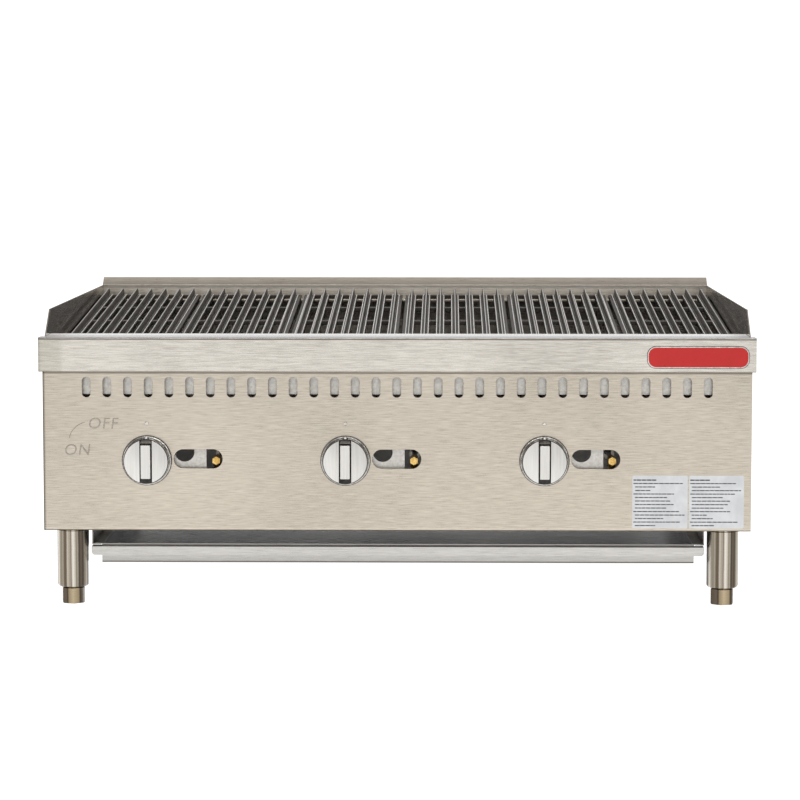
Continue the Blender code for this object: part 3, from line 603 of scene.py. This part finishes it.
# The control panel: a brushed sheet with a row of vent slots punched under the rail, a long sight slot
# beside each knob and a return along its foot. Punching leaves the slot edges bright and rounded.
panel_steel = brushed_steel(
    "control panel steel", (0.375, 0.338, 0.282), (0.585, 0.535, 0.455), along_x, 0.34, 0.24
)
low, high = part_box("control_panel")
edge_line_shade = (0.10, 0.09, 0.08)
foot_highlight = (1.12, 1.12, 1.12)
# Painted shade: a dark line down each folded side edge of the panel.
painted_light_along(
    panel_steel,
    "X",
    (low.x, edge_line_shade),
    (low.x + 0.0013, edge_line_shade),
    (low.x + 0.0019, unshaded),
    (high.x - 0.0019, unshaded),
    (high.x - 0.0013, edge_line_shade),
    (high.x, edge_line_shade),
)
joint_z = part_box("front_rail")[0].z
# Painted shade and light along the height: a dark line at the foot with a painted highlight just above
# it, and a painted shadow under the rail at the top.
painted_light_along(
    panel_steel,
    "Z",
    (low.z, edge_shade),
    (low.z + 0.0009, edge_shade),
    (low.z + 0.0014, foot_highlight),
    (low.z + 0.0032, foot_highlight),
    (low.z + 0.0042, unshaded),
    (joint_z - 0.0032, unshaded),
    (joint_z - 0.0018, edge_shade),
    (joint_z, (0.06, 0.06, 0.06)),
)
sheet = 0.0015
return_end = 0.397
panel = bar("panel_sheet", low, (high.x, low.y + sheet, high.z))
bpy.ops.object.mode_set(mode="EDIT")
bpy.ops.mesh.select_all(action="SELECT")
bpy.ops.mesh.bisect(plane_co=(0, 0, low.z + sheet), plane_no=(0, 0, 1))
for x in (-return_end, return_end):
    bpy.ops.mesh.select_all(action="SELECT")
    bpy.ops.mesh.bisect(plane_co=(x, 0, 0), plane_no=(1, 0, 0))
pick(
    panel,
    "FACE",
    lambda middle, normal: normal.y > 0.9 and middle.z < low.z + sheet and abs(middle.x) < return_end,
)
bpy.ops.mesh.extrude_region_move(TRANSFORM_OT_translate={"value": (0, high.y - low.y - sheet, 0)})
bpy.ops.object.mode_set(mode="OBJECT")


def slot_tool_at(place, width, height):
    """A tool for a slot with round ends: a round blank whose two halves are pulled apart."""
    radius = min(width, height) / 2
    reach = abs(width - height) / 2
    axis = 0 if width > height else 2
    tool = round_bar("slot_tool", place, radius, 2 * tool_reach, "Y", 32)
    middle = Vector(place)
    shift = Vector((0, 0, 0))
    for side in (1, -1):
        pick(
            tool,
            "FACE",
            lambda at, normal: side * (at[axis] - middle[axis]) > radius * 0.02 and abs(normal.y) < 0.5,
        )
        shift[axis] = side * reach
        bpy.ops.transform.translate(value=shift)
    bpy.ops.object.mode_set(mode="OBJECT")
    return tool


def repeated(piece, count, step):
    """Repeats a piece, each time a step further on."""
    only(piece)
    row = piece.modifiers.new("row", "ARRAY")
    row.count = count
    row.use_relative_offset = False
    row.use_constant_offset = True
    row.constant_offset_displace = step
    bpy.ops.object.modifier_apply(modifier=row.name)


vent_count = 31
vent_pitch = 0.02644
vent_width, vent_height = 0.011, 0.0263
sight_width, sight_height = 0.0626, 0.0248
first_vent = (-vent_pitch * (vent_count - 1) / 2, low.y, knob_z + 0.094)
vent_tool = slot_tool_at(first_vent, vent_width, vent_height)
repeated(vent_tool, vent_count, (vent_pitch, 0, 0))
cut_with(panel, vent_tool)
for x in burner_x:
    cut_with(panel, slot_tool_at((x, low.y, knob_z + 0.002), sight_width, sight_height))
    cut_with(panel, round_bar("stem_tool", (x - knob_offset, low.y, knob_z), 0.006, 2 * tool_reach))
rounded(panel, 0.0004, 2, 30)
stand_for(panel, panel_steel, "body", "brushed_stainless", "control_panel")

# Marks stamped in the panel: the words for the knob's two ends of travel joined by an arc, and a small
# round dimple over each knob that shows where its pointer rests.
# The stamped marks are painted darker than the panel, a painted shade for the shadows of their raised
# edges.
stamp_steel = brushed_steel(
    "stamped steel", (0.24, 0.215, 0.185), (0.40, 0.365, 0.32), along_x, 0.30, 0.20
)
panel_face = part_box("control_panel")[0].y
letter_height = 0.0205
for word, x, z in (("OFF", -0.3955, knob_z + 0.0405), ("ON", -0.4265, knob_z + 0.0065)):
    deselect()
    bpy.ops.object.text_add(location=(x, panel_face - 0.0002, z), rotation=(math.pi / 2, 0, 0))
    mark = bpy.context.active_object
    mark.data.body = word
    mark.data.size = letter_height
    mark.data.space_character = 1.12
    mark.data.shear = 0.15
    mark.data.extrude = 0.0005
    mark.data.bevel_depth = 0.00024
    mark.data.bevel_resolution = 2
    mark.data.offset = -0.00040
    bpy.ops.object.convert(target="MESH")
    bpy.ops.object.transform_apply(location=True, rotation=True, scale=True)
    mark.name = f"stamped_{word.lower()}"
    bpy.ops.object.shade_smooth_by_angle(angle=math.radians(30))
    stand_for(mark, stamp_steel, "body", "brushed_stainless")
deselect()
bpy.ops.curve.primitive_bezier_curve_add(radius=0.01, location=(0, 0, 0))
arc = bpy.context.active_object
arc.name = "stamped_arc"
ends = arc.data.splines[0].bezier_points
ends[0].co = (-0.4185, panel_face, knob_z + 0.0285)
ends[0].handle_left = (-0.4188, panel_face, knob_z + 0.0240)
ends[0].handle_right = (-0.4172, panel_face, knob_z + 0.0380)
ends[1].co = (-0.3990, panel_face, knob_z + 0.0485)
ends[1].handle_left = (-0.4080, panel_face, knob_z + 0.0470)
ends[1].handle_right = (-0.3960, panel_face, knob_z + 0.0489)
arc.data.bevel_depth = 0.00045
arc.data.bevel_resolution = 3
arc.data.use_fill_caps = True
bpy.ops.object.convert(target="MESH")
bpy.ops.object.shade_smooth_by_angle(angle=math.radians(60))
stand_for(arc, stamp_steel, "body", "brushed_stainless")
# Each stamped dimple is given the bright plating, a painted highlight on the panel's steel.
for number, x in enumerate(burner_x, 1):
    dimple_place = (x - knob_offset, panel_face - 0.0003, knob_z + 0.0475)
    dimple = round_bar(f"stamped_dot_{number}", dimple_place, 0.0025, 0.0026, "Y", 24)
    rounded(dimple, 0.0012, 4)
    stand_for(dimple, screw_plating, "body", "brushed_stainless")

# Two rating labels on the panel's lower right corner: thin silvered film printed with rows of plain
# grey dashes and no words. They are stuck to the sheet side by side.
def corners_rounded(piece, radius, steps, wanted):
    """Rounds the edges whose middle and direction are wanted."""
    pick(piece, "EDGE", wanted)
    bpy.ops.mesh.bevel(offset=radius, segments=steps, affect="EDGES")
    bpy.ops.object.mode_set(mode="OBJECT")


label_film = marked_metal(
    "label film", (0.52, 0.535, 0.55), (0.60, 0.615, 0.63), 0.5, 0.38, 40.0, 0.02
)
label_ink = marked_metal(
    "label ink", (0.03, 0.03, 0.035), (0.07, 0.07, 0.075), 0.0, 0.55, 300.0, 0.05
)
rule_pitch = 0.004512
rule_ends = (0.48, 0.97, 0.42, 0.30, 0.80, 0.66, 0.72, 0.76, 0.62, 0.90, 0.98, 0.56, 0.92, 0.40)
outset_rows = (0, 1, 4, 9, 12)
shortest_dash, dash_spread, dash_gap = 0.0030, 0.0034, 0.0006
panel_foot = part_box("control_panel")[0].z
label_bottom, label_top = panel_foot + 0.0038, panel_foot + 0.0718
for number, (left, right) in enumerate(((0.3008, 0.3715), (0.3732, 0.4432)), 1):
    corners = (left, panel_face - 0.0002, label_bottom), (right, panel_face - 0.00002, label_top)
    label = bar(f"rating_label_{number}", *corners)
    corners_rounded(label, 0.002, 4, lambda middle, line: abs(line.y) > 0.9)
    stand_for(label, label_film, "body", "brushed_stainless")
    rules = []
    for row, reach in enumerate(rule_ends):
        height = 0.0013 if row else 0.0017
        top = label_top - 0.0050 - rule_pitch * row
        dash = left + (0.0015 if row in outset_rows else 0.0036)
        end = dash + (right - left - 0.0060) * (reach if number == 1 else rule_ends[-1 - row])
        while dash < end - 0.002:
            run = shortest_dash + dash_spread * abs(math.sin(3700 * dash + row))
            near = (dash, panel_face - 0.00026, top - height)
            far = (min(dash + run, end), panel_face - 0.00019, top)
            rules.append(bar("rule", near, far))
            dash += run + dash_gap
    stand_for(joined(rules, f"label_rules_{number}"), label_ink, "body", "brushed_stainless")

# The front rail: a band folded from one sheet, with a flat ledge on top that meets the side panels. It
# is brushed lengthwise, and its steel is painted lighter than the panel's for the extra light it
# catches.
rail = copy_of("front_rail", "rail_sheet")
low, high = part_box("front_rail")
fold_shade = (0.16, 0.15, 0.15)
ledge_glare = (0.92, 0.92, 0.92)
band_steel = brushed_steel(
    "front rail steel", (0.44, 0.415, 0.375), (0.68, 0.65, 0.595), along_x, 0.30, 0.22
)
# Painted shade at the ends of the band: the left end a little darker over its first few centimetres, and
# a dark line at each end.
painted_light_along(
    band_steel,
    "X",
    (low.x, (0.62, 0.61, 0.60)),
    (low.x + 0.0010, (0.86, 0.86, 0.83)),
    (low.x + 0.0270, (0.87, 0.87, 0.84)),
    (low.x + 0.0330, unshaded),
    (high.x - 0.0012, unshaded),
    (high.x - 0.0006, edge_shade),
    (high.x, edge_shade),
)
# Painted shade along the height of the band: a dark line along its foot and a dark fold line along its
# top.
painted_light_along(
    band_steel,
    "Z",
    (low.z, edge_shade),
    (low.z + 0.0006, (0.5, 0.49, 0.47)),
    (low.z + 0.0014, unshaded),
    (high.z - 0.0032, unshaded),
    (high.z - 0.0024, fold_shade),
    (high.z, fold_shade),
)
# Painted reflections: the ledge is a lighter steel with a dark fold line, grey-blue strips and a glare
# strip.
lit_ledge_steel = brushed_steel(
    "ledge steel, painted reflections", (0.55, 0.54, 0.52), (0.86, 0.85, 0.83), along_x, 0.34, 0.20
)
painted_light_along(
    lit_ledge_steel,
    "Y",
    (low.y, fold_shade),
    (low.y + 0.0060, (0.24, 0.23, 0.23)),
    (low.y + 0.0120, (0.44, 0.45, 0.47)),
    (low.y + 0.0400, (0.50, 0.51, 0.53)),
    (low.y + 0.0440, ledge_glare),
    (low.y + 0.0600, ledge_glare),
    (low.y + 0.0680, (0.80, 0.78, 0.75)),
    (low.y + 0.0770, (0.45, 0.42, 0.39)),
)
corners_rounded(
    rail,
    0.0010,
    4,
    lambda middle, line: abs(line.x) > 0.9
    and middle.y < low.y + 0.0002
    and (middle.z > high.z - 0.0002 or middle.z < low.z + 0.0002),
)
rounded(rail, 0.0003, 2, 40)
stand_for(rail, band_steel, "body", "brushed_stainless", "front_rail")
rail.data.materials.append(lit_ledge_steel)
for polygon in rail.data.polygons:
    if polygon.normal.z > 0.9 and polygon.center.z > high.z - 0.0005:
        polygon.material_index = 1

# The nameplate is a red enamelled plate with a thin silver border, stuck to the rail near its right
# end. A dark sheet behind it, a little larger, is a painted shadow round its edge. It is left blank.
enamel, tree, shader = new_finish("red enamel")
shader.inputs["Specular IOR Level"].default_value = 0.35
shader.inputs["Coat Weight"].default_value = 0.12
shader.inputs["Coat Roughness"].default_value = 0.12
place = add_node(tree, "TexCoord")
marks = add_node(tree, "Group", node_tree=heat_marks, Scale=60.0)
tint = add_node(tree, "Mix", data_type="RGBA", A=(0.37, 0.007, 0.006, 1), B=(0.47, 0.010, 0.009, 1))
dull = add_node(tree, "MapRange", To_Min=0.22, To_Max=0.38)
wire(
    tree,
    (place, "Object", marks, "Vector"),
    (marks, "Blotch", tint, "Factor"),
    (tint, "Result", shader, "Base Color"),
    (marks, "Blotch", dull, "Value"),
    (dull, 0, shader, "Roughness"),
)
low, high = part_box("nameplate")
for name, inset, back, front, finish, nodes in (
    # The first layer is a dark sheet a little larger than the plate, a painted shadow round its edge.
    ("nameplate_shadow_sheet", -0.0007, high.y, high.y - 0.0004, pipe_black, ()),
    ("nameplate_border", 0.0, high.y - 0.0004, low.y + 0.0004, screw_plating, ("nameplate",)),
    ("nameplate_field", 0.0013, low.y + 0.0006, low.y + 0.0001, enamel, ()),
):
    corners = (low.x + inset, front, low.z + inset), (high.x - inset, back, high.z - inset)
    layer = bar(name, *corners)
    corners_rounded(layer, 0.0110 - inset, 12, lambda middle, line: abs(line.y) > 0.9)
    rounded(layer, 0.00015)
    stand_for(layer, finish, "body", "red_enamel", *nodes)

# The knobs are chromed castings: a wide skirt against the panel, a round body, and a grip bar that
# stands in a channel across the face. A sloping pointer with a bright dot runs up from the bar.
chrome = brushed_steel(
    "satin chrome", (0.26, 0.25, 0.235), (0.50, 0.49, 0.47), (260, 260, 260), 0.24, 0.12
)
face_chrome = brushed_steel(
    "knob face", (0.55, 0.54, 0.515), (0.66, 0.65, 0.625), (500, 500, 30), 0.36, 0.26
)
# A near-black finish for painted shade in the knob's channel and round the edges of its face and skirt.
knob_shade = marked_metal(
    "knob painted shade", (0.018, 0.017, 0.016), (0.05, 0.048, 0.045), 0.6, 0.50, 60.0, 0.1
)
dot_paint = marked_metal(
    "pointer dot", (0.80, 0.80, 0.79), (0.95, 0.95, 0.94), 0.2, 0.35, 300.0, 0.02
)
low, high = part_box("knob_2")
knob_x = (low.x + high.x) / 2
back_y, front_y = high.y, low.y
face_y = front_y + 0.0050
skirt_radius = 0.032
skirt_depth = 0.0035
channel_half = 0.0080
channel_depth = 0.0048


def across_knob(name, half, front, back, foot, top):
    """A blank across the knob, with its foot and top measured from the knob's middle."""
    return bar(name, (knob_x - half, front, knob_z + foot), (knob_x + half, back, knob_z + top))


skirt_place = (knob_x, back_y - skirt_depth / 2, knob_z)
body = round_bar("knob_blank", skirt_place, skirt_radius, skirt_depth, "Y", 96)
pick(body, "FACE", lambda middle, normal: normal.y < -0.9)
bpy.ops.mesh.inset(thickness=0.0026)
bpy.ops.mesh.extrude_region_move(
    TRANSFORM_OT_translate={"value": (0, face_y - back_y + skirt_depth, 0)}
)
bpy.ops.transform.resize(value=(0.970, 1, 0.970), center_override=(knob_x, face_y, knob_z))
bpy.ops.object.mode_set(mode="OBJECT")
rounded(body, 0.0013, 4, 40)
channel = across_knob("channel_tool", channel_half, face_y - 0.02, face_y + channel_depth, -0.040, 0.040)
cut_with(body, channel)
grip = across_knob("grip_blank", 0.00665, front_y, face_y + channel_depth + 0.0001, -0.0218, 0.0218)
pick(grip, "FACE", lambda middle, normal: normal.y < -0.9)
bpy.ops.transform.resize(value=(0.90, 1, 0.985), center_override=(knob_x, front_y, knob_z))
bpy.ops.object.mode_set(mode="OBJECT")
rounded(grip, 0.0009, 4)
pointer_top = 0.0305
pointer = across_knob("pointer_blank", 0.0078, face_y + 0.0010, face_y + 0.0060, 0.0235, pointer_top)
pick(pointer, "FACE", lambda middle, normal: normal.z > 0.9)
bpy.ops.transform.translate(value=(0, 0.0085, 0))
bpy.ops.transform.resize(value=(0.45, 1, 1), center_override=(knob_x, face_y, knob_z + pointer_top))
bpy.ops.object.mode_set(mode="OBJECT")
rounded(pointer, 0.0006, 3)
dot_place = (knob_x, back_y - 0.0085, knob_z + 0.0292)
dot = round_bar("pointer_dot_blank", dot_place, 0.0015, 0.0030, "Y", 24)
rounded(dot, 0.0006, 3)
for number, x in enumerate(burner_x, 1):
    shift = x - knob_offset - knob_x
    for blank, name, finish, nodes in (
        (body, "knob_body", chrome, (f"knob_{number}",)),
        (grip, "knob_grip", face_chrome, ()),
        (pointer, "knob_pointer", chrome, ()),
        (dot, "knob_dot", dot_paint, ()),
    ):
        made = copied(blank, f"{name}_{number}", (shift, 0, 0))
        stand_for(made, finish, f"knob_turn_{number}", "satin_chrome", *nodes)
        if blank is body:
            made.data.materials.append(face_chrome)
            made.data.materials.append(knob_shade)
            for polygon in made.data.polygons:
                middle = polygon.center - Vector((knob_x + shift, face_y, knob_z))
                from_axis = Vector((middle.x, middle.z)).length
                sunk = middle.y > 0.0002
                in_channel = middle.y < channel_depth + 0.0001 and abs(middle.x) < channel_half + 0.0001
                face_rim = middle.y < 0.0016 and from_axis > 0.0255
                if polygon.normal.y < -0.9 and not sunk:
                    polygon.material_index = 1
                # Painted shade: the skirt's outer edge, the sunk faces of the channel and the rim of the
                # face.
                elif from_axis > skirt_radius - 0.0008 or (in_channel and sunk) or face_rim:
                    polygon.material_index = 2
for blank in (body, grip, pointer, dot):
    bpy.data.objects.remove(blank, do_unlink=True)

# The six cast grates: seven fins each on a slotted base that sheds grease to the front. The castings
# are rough and almost black. The fin tops and the ridges beside them are worn bare by scraping, and
# are painted near white there as a painted highlight along them.
fin_count = 7
fin_pitch = 0.02105
grate_pitch = 0.1506
grate_length = 0.516
grate_rise = 0.0435
grate_tilt = math.asin(grate_rise / grate_length)
grate_up = Vector((0, -math.sin(grate_tilt), math.cos(grate_tilt)))
grate_height = 0.0160
grate_start = Vector((0, -0.205, 0.3177))
half_width = fin_pitch * (fin_count - 1) / 2 + 0.0098
hole_rows = 4
hole_pitch = grate_length / hole_rows
hole_half = 0.0045
hole_gap = 0.0055
base = bar("grate_blank", (-half_width, 0, 0), (half_width, grate_length, 0.0055))
first_hole = -fin_pitch * (fin_count - 2) / 2
hole = bar(
    "hole_tool",
    (first_hole - hole_half, hole_gap, -0.01),
    (first_hole + hole_half, hole_pitch - hole_gap, 0.02),
)
corners_rounded(hole, 0.0018, 3, lambda middle, line: abs(line.z) > 0.9)
repeated(hole, fin_count - 1, (fin_pitch, 0, 0))
repeated(hole, hole_rows, (0, hole_pitch, 0))
cut_with(base, hole)
rounded(base, 0.0006)
fin_top = 0.0159
fin = bar("fin_blank", (-0.0022, 0.0001, 0.004), (0.0022, grate_length - 0.0002, fin_top))
pick(fin, "FACE", lambda middle, normal: normal.z > 0.9)
bpy.ops.transform.resize(value=(0.44, 1, 1), center_override=(0, 0, fin_top))
corners_rounded(
    fin,
    0.0062,
    6,
    lambda middle, line: abs(line.x) > 0.9 and middle.z > 0.015 and middle.y > 0.1,
)
rounded(fin, 0.0008, 3, 45)
ridge = bar("ridge_blank", (-0.00065, 0.001, 0.005), (0.00065, grate_length - 0.001, 0.0064))
rounded(ridge, 0.0002, 1)
castings = [base]
for index in range(fin_count):
    x = fin_pitch * (index - (fin_count - 1) / 2)
    for blank, offset in ((fin, 0.0), (ridge, -0.0047), (ridge, 0.0047)):
        castings.append(copied(blank, "casting", (x + offset, 0, 0)))
joined(castings, "grate_blank")

cast_iron, tree, shader = new_finish("seasoned cast iron")
place = add_node(tree, "TexCoord")
marks = add_node(tree, "Group", node_tree=heat_marks, Scale=26.0)
level = add_node(tree, "VectorMath", operation="DOT_PRODUCT")
level.inputs[1].default_value = grate_up
sill = grate_start.dot(grate_up)
height_up = add_node(tree, "MapRange", From_Min=sill, From_Max=sill + grate_height)
worn_and_highlit_tops = add_node(tree, "ValToRGB")
# Fin and ridge tops: bare metal with a painted highlight, near white, set by height above the base.
for place_up, bare_and_highlit_share in ((0.350, 0.0), (0.385, 1.0), (0.412, 1.0), (0.430, 0.0), (0.982, 0.0)):
    worn_and_highlit_tops.color_ramp.elements.new(place_up).color = (bare_and_highlit_share, bare_and_highlit_share, bare_and_highlit_share, 1)
uneven = add_node(tree, "MapRange", From_Min=0.30, From_Max=0.52, To_Min=0.65)
bare_and_highlit = add_node(tree, "Math", operation="MULTIPLY")
skin = add_node(tree, "Mix", data_type="RGBA", A=(0.016, 0.0145, 0.013, 1), B=(0.135, 0.117, 0.100, 1))
tint = add_node(tree, "Mix", data_type="RGBA", B=(0.88, 0.86, 0.83, 1))
sheen = add_node(tree, "MapRange", To_Min=0.58, To_Max=0.34)
shine = add_node(tree, "MapRange", To_Min=0.35, To_Max=0.75)
rough = add_node(tree, "Bump", Strength=0.35, Distance=0.0006)
wire(
    tree,
    (place, "Object", marks, "Vector"),
    (place, "Object", level, 0),
    (level, "Value", height_up, "Value"),
    (marks, "Pitting", uneven, "Value"),
    (height_up, 0, worn_and_highlit_tops, "Fac"),
    (worn_and_highlit_tops, "Color", bare_and_highlit, 0),
    (uneven, 0, bare_and_highlit, 1),
    (marks, "Blotch", skin, "Factor"),
    (skin, "Result", tint, "A"),
    (bare_and_highlit, 0, tint, "Factor"),
    (tint, "Result", shader, "Base Color"),
    (bare_and_highlit, 0, sheen, "Value"),
    (sheen, 0, shader, "Roughness"),
    (bare_and_highlit, 0, shine, "Value"),
    (shine, 0, shader, "Metallic"),
    (marks, "Pitting", rough, "Height"),
    (rough, 0, shader, "Normal"),
)
for number in range(1, 7):
    corner = grate_start + Vector((grate_pitch * (number - 3.5), 0, 0))
    grate = copied(base, f"cast_grate_{number}", corner, (grate_tilt, 0, 0))
    stand_for(grate, cast_iron, f"grate_lift_{number}", "cast_iron", f"grate_{number}")
for blank in (base, fin, ridge):
    bpy.data.objects.remove(blank, do_unlink=True)

# The drip tray slides out on two hanging rails. Its pan is folded from stainless sheet, and its front
# edge is turned over into a lip with rounded ends that serves as the handle.
tray_steel = brushed_steel(
    "drip tray steel", (0.42, 0.41, 0.39), (0.57, 0.56, 0.54), along_x, 0.34, 0.24
)
tray = copy_of("drip_tray", "tray_pan")
low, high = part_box("drip_tray")
# Painted shade and light along the height of the lip: a dark line at its foot and a painted highlight
# along its fold.
painted_light_along(
    tray_steel,
    "Z",
    (low.z, edge_shade),
    (low.z + 0.0012, edge_shade),
    (low.z + 0.0022, (0.80, 0.80, 0.80)),
    (low.z + 0.0095, (0.92, 0.92, 0.92)),
    (low.z + 0.0105, (1.15, 1.15, 1.15)),
    (low.z + 0.0120, unshaded),
    (high.z, unshaded),
)
# Painted shade: the inside of the pan gets a darker, bluer copy of the steel for the shade in the well.
shaded_well_steel = brushed_steel(
    "tray well, painted shade", (0.16, 0.165, 0.18), (0.34, 0.345, 0.36), along_x, 0.34, 0.22
)
corners_rounded(
    tray,
    0.0045,
    6,
    lambda middle, line: abs(line.y) > 0.9
    and abs(middle.x) > high.x - 0.0004
    and middle.y < low.y + 0.002
    and middle.z < low.z + 0.012,
)
rounded(tray, 0.00045, 2, 40)
stand_for(tray, tray_steel, "tray", "brushed_stainless", "drip_tray")
tray.data.materials.append(shaded_well_steel)
for polygon in tray.data.polygons:
    middle, facing = polygon.center, polygon.normal
    inside = abs(middle.x) < high.x - 0.013 and middle.y > low.y + 0.016
    if inside and middle.z < high.z - 0.0005 and facing.z > -0.5 and middle.y * facing.y < 0.001:
        polygon.material_index = 1
for word in ("left", "right"):
    runner = copy_of(f"{word}_tray_rail", f"{word}_runner")
    rounded(runner, 0.00035)
    stand_for(runner, tray_steel, "body", "brushed_stainless", f"{word}_tray_rail")

# The four legs are nickel-plated tubes screwed to the base, with a narrow neck at the top and a rolled
# lower edge. Each holds a hexagonal foot on a threaded stem that levels the grill.
def nickel_with_painted_reflections(name, *stops):
    """Nickel with painted reflections in upright stripes. Each stop is a part of the radius and a
    colour.
    """
    made, tree, shader = new_finish(name)
    shader.inputs["Metallic"].default_value = 1.0
    place = add_node(tree, "TexCoord")
    grain = add_node(tree, "Group", node_tree=brushed_grain, Stretch=(90, 90, 1500))
    marks = add_node(tree, "Group", node_tree=heat_marks, Scale=34.0)
    parts = add_node(tree, "SeparateXYZ")
    side = add_node(tree, "Math", operation="SIGN")
    across = add_node(tree, "Math", operation="MULTIPLY_ADD")
    across.inputs[1].default_value = -leg_x
    wander = add_node(tree, "Math", operation="MULTIPLY_ADD")
    wander.inputs[1].default_value = 0.0012
    span = add_node(tree, "MapRange", From_Min=-leg_radius + 0.0006, From_Max=leg_radius + 0.0006)
    stripes = add_node(tree, "ValToRGB")
    bands = stripes.color_ramp.elements
    for number, (at, shade) in enumerate(stops):
        band = bands[0] if number == 0 else bands.new((at + 1) / 2)
        band.position = (at + 1) / 2
        band.color = (*shade, 1)
    bands.remove(bands[-1])
    dull = add_node(tree, "MapRange", To_Min=0.16, To_Max=0.30)
    lathe = add_node(tree, "Bump", Strength=0.06, Distance=0.0003)
    wire(
        tree,
        (place, "Object", grain, "Vector"),
        (place, "Object", marks, "Vector"),
        (place, "Object", parts, 0),
        (parts, "X", side, 0),
        (side, 0, across, 0),
        (parts, "X", across, 2),
        (marks, "Blotch", wander, 0),
        (across, 0, wander, 2),
        (wander, 0, span, "Value"),
        (span, 0, stripes, "Fac"),
        (stripes, "Color", shader, "Base Color"),
        (grain, "Streaks", dull, "Value"),
        (dull, 0, shader, "Roughness"),
        (grain, "Streaks", lathe, "Height"),
        (lathe, 0, shader, "Normal"),
    )
    return made


low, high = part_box("leg_front_right")
leg_x = (low.x + high.x) / 2
leg_radius = (high.x - low.x) / 2
dark, brown, olive = (0.05, 0.042, 0.034), (0.11, 0.088, 0.064), (0.19, 0.170, 0.130)
beige, pale, bright = (0.30, 0.265, 0.215), (0.44, 0.40, 0.34), (0.62, 0.59, 0.54)
# Legs and feet carry painted reflections: dark and pale upright stripes round each leg, for the room
# they face.
nickel = nickel_with_painted_reflections(
    "nickel plating, painted reflections",
    (-1.0, dark), (-0.95, dark), (-0.91, pale), (-0.83, bright), (-0.78, beige), (-0.64, olive),
    (-0.56, beige), (-0.46, brown), (-0.34, brown), (-0.26, pale), (-0.14, beige), (-0.07, beige),
    (-0.035, brown), (0.02, pale), (0.10, bright), (0.22, pale), (0.30, olive), (0.38, beige),
    (0.46, dark), (0.58, brown), (0.70, dark), (0.76, olive), (0.84, beige), (0.90, pale),
    (0.94, dark), (1.0, dark),
)
foot_nickel = nickel_with_painted_reflections(
    "foot nickel, painted reflections",
    (-1.0, dark), (-0.42, brown), (-0.30, dark), (-0.24, (0.24, 0.19, 0.12)),
    (0.05, (0.40, 0.33, 0.22)), (0.38, (0.26, 0.205, 0.13)), (0.46, dark), (0.60, brown), (1.0, dark),
)
neck = 0.0036
for place_word in ("front", "rear"):
    for word in ("left", "right"):
        node = f"leg_{place_word}_{word}"
        low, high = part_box(node)
        middle = (low + high) / 2
        leg = round_bar(f"{node}_tube", middle, (high.x - low.x) / 2, high.z - low.z, "Z", 96)
        bpy.ops.object.mode_set(mode="EDIT")
        for height in (high.z - neck - 0.0006, high.z - neck):
            bpy.ops.mesh.select_all(action="SELECT")
            bpy.ops.mesh.bisect(plane_co=(0, 0, height), plane_no=(0, 0, 1))
        pick(leg, "FACE", lambda at, normal: abs(normal.z) < 0.5 and at.z > high.z - neck)
        bpy.ops.transform.resize(value=(0.93, 0.93, 1), center_override=middle)
        pick(leg, "FACE", lambda at, normal: normal.z < -0.9 and at.z < low.z + 0.001)
        bpy.ops.mesh.inset(thickness=0.0118)
        bpy.ops.mesh.extrude_region_move(TRANSFORM_OT_translate={"value": (0, 0, 0.062)})
        corners_rounded(
            leg,
            0.0042,
            6,
            lambda at, line: at.z < low.z + 0.0001 and (at - middle).xy.length > 0.017,
        )
        rounded(leg, 0.0003, 2, 50)
        stand_for(leg, nickel, "body", "nickel_leg", node)
        node = f"foot_{place_word}_{word}"
        foot = copy_of(node, f"{node}_screw")
        rounded(foot, 0.0005, 3, 25)
        stand_for(foot, foot_nickel, f"{place_word}_{word}_foot", "nickel_leg", node)
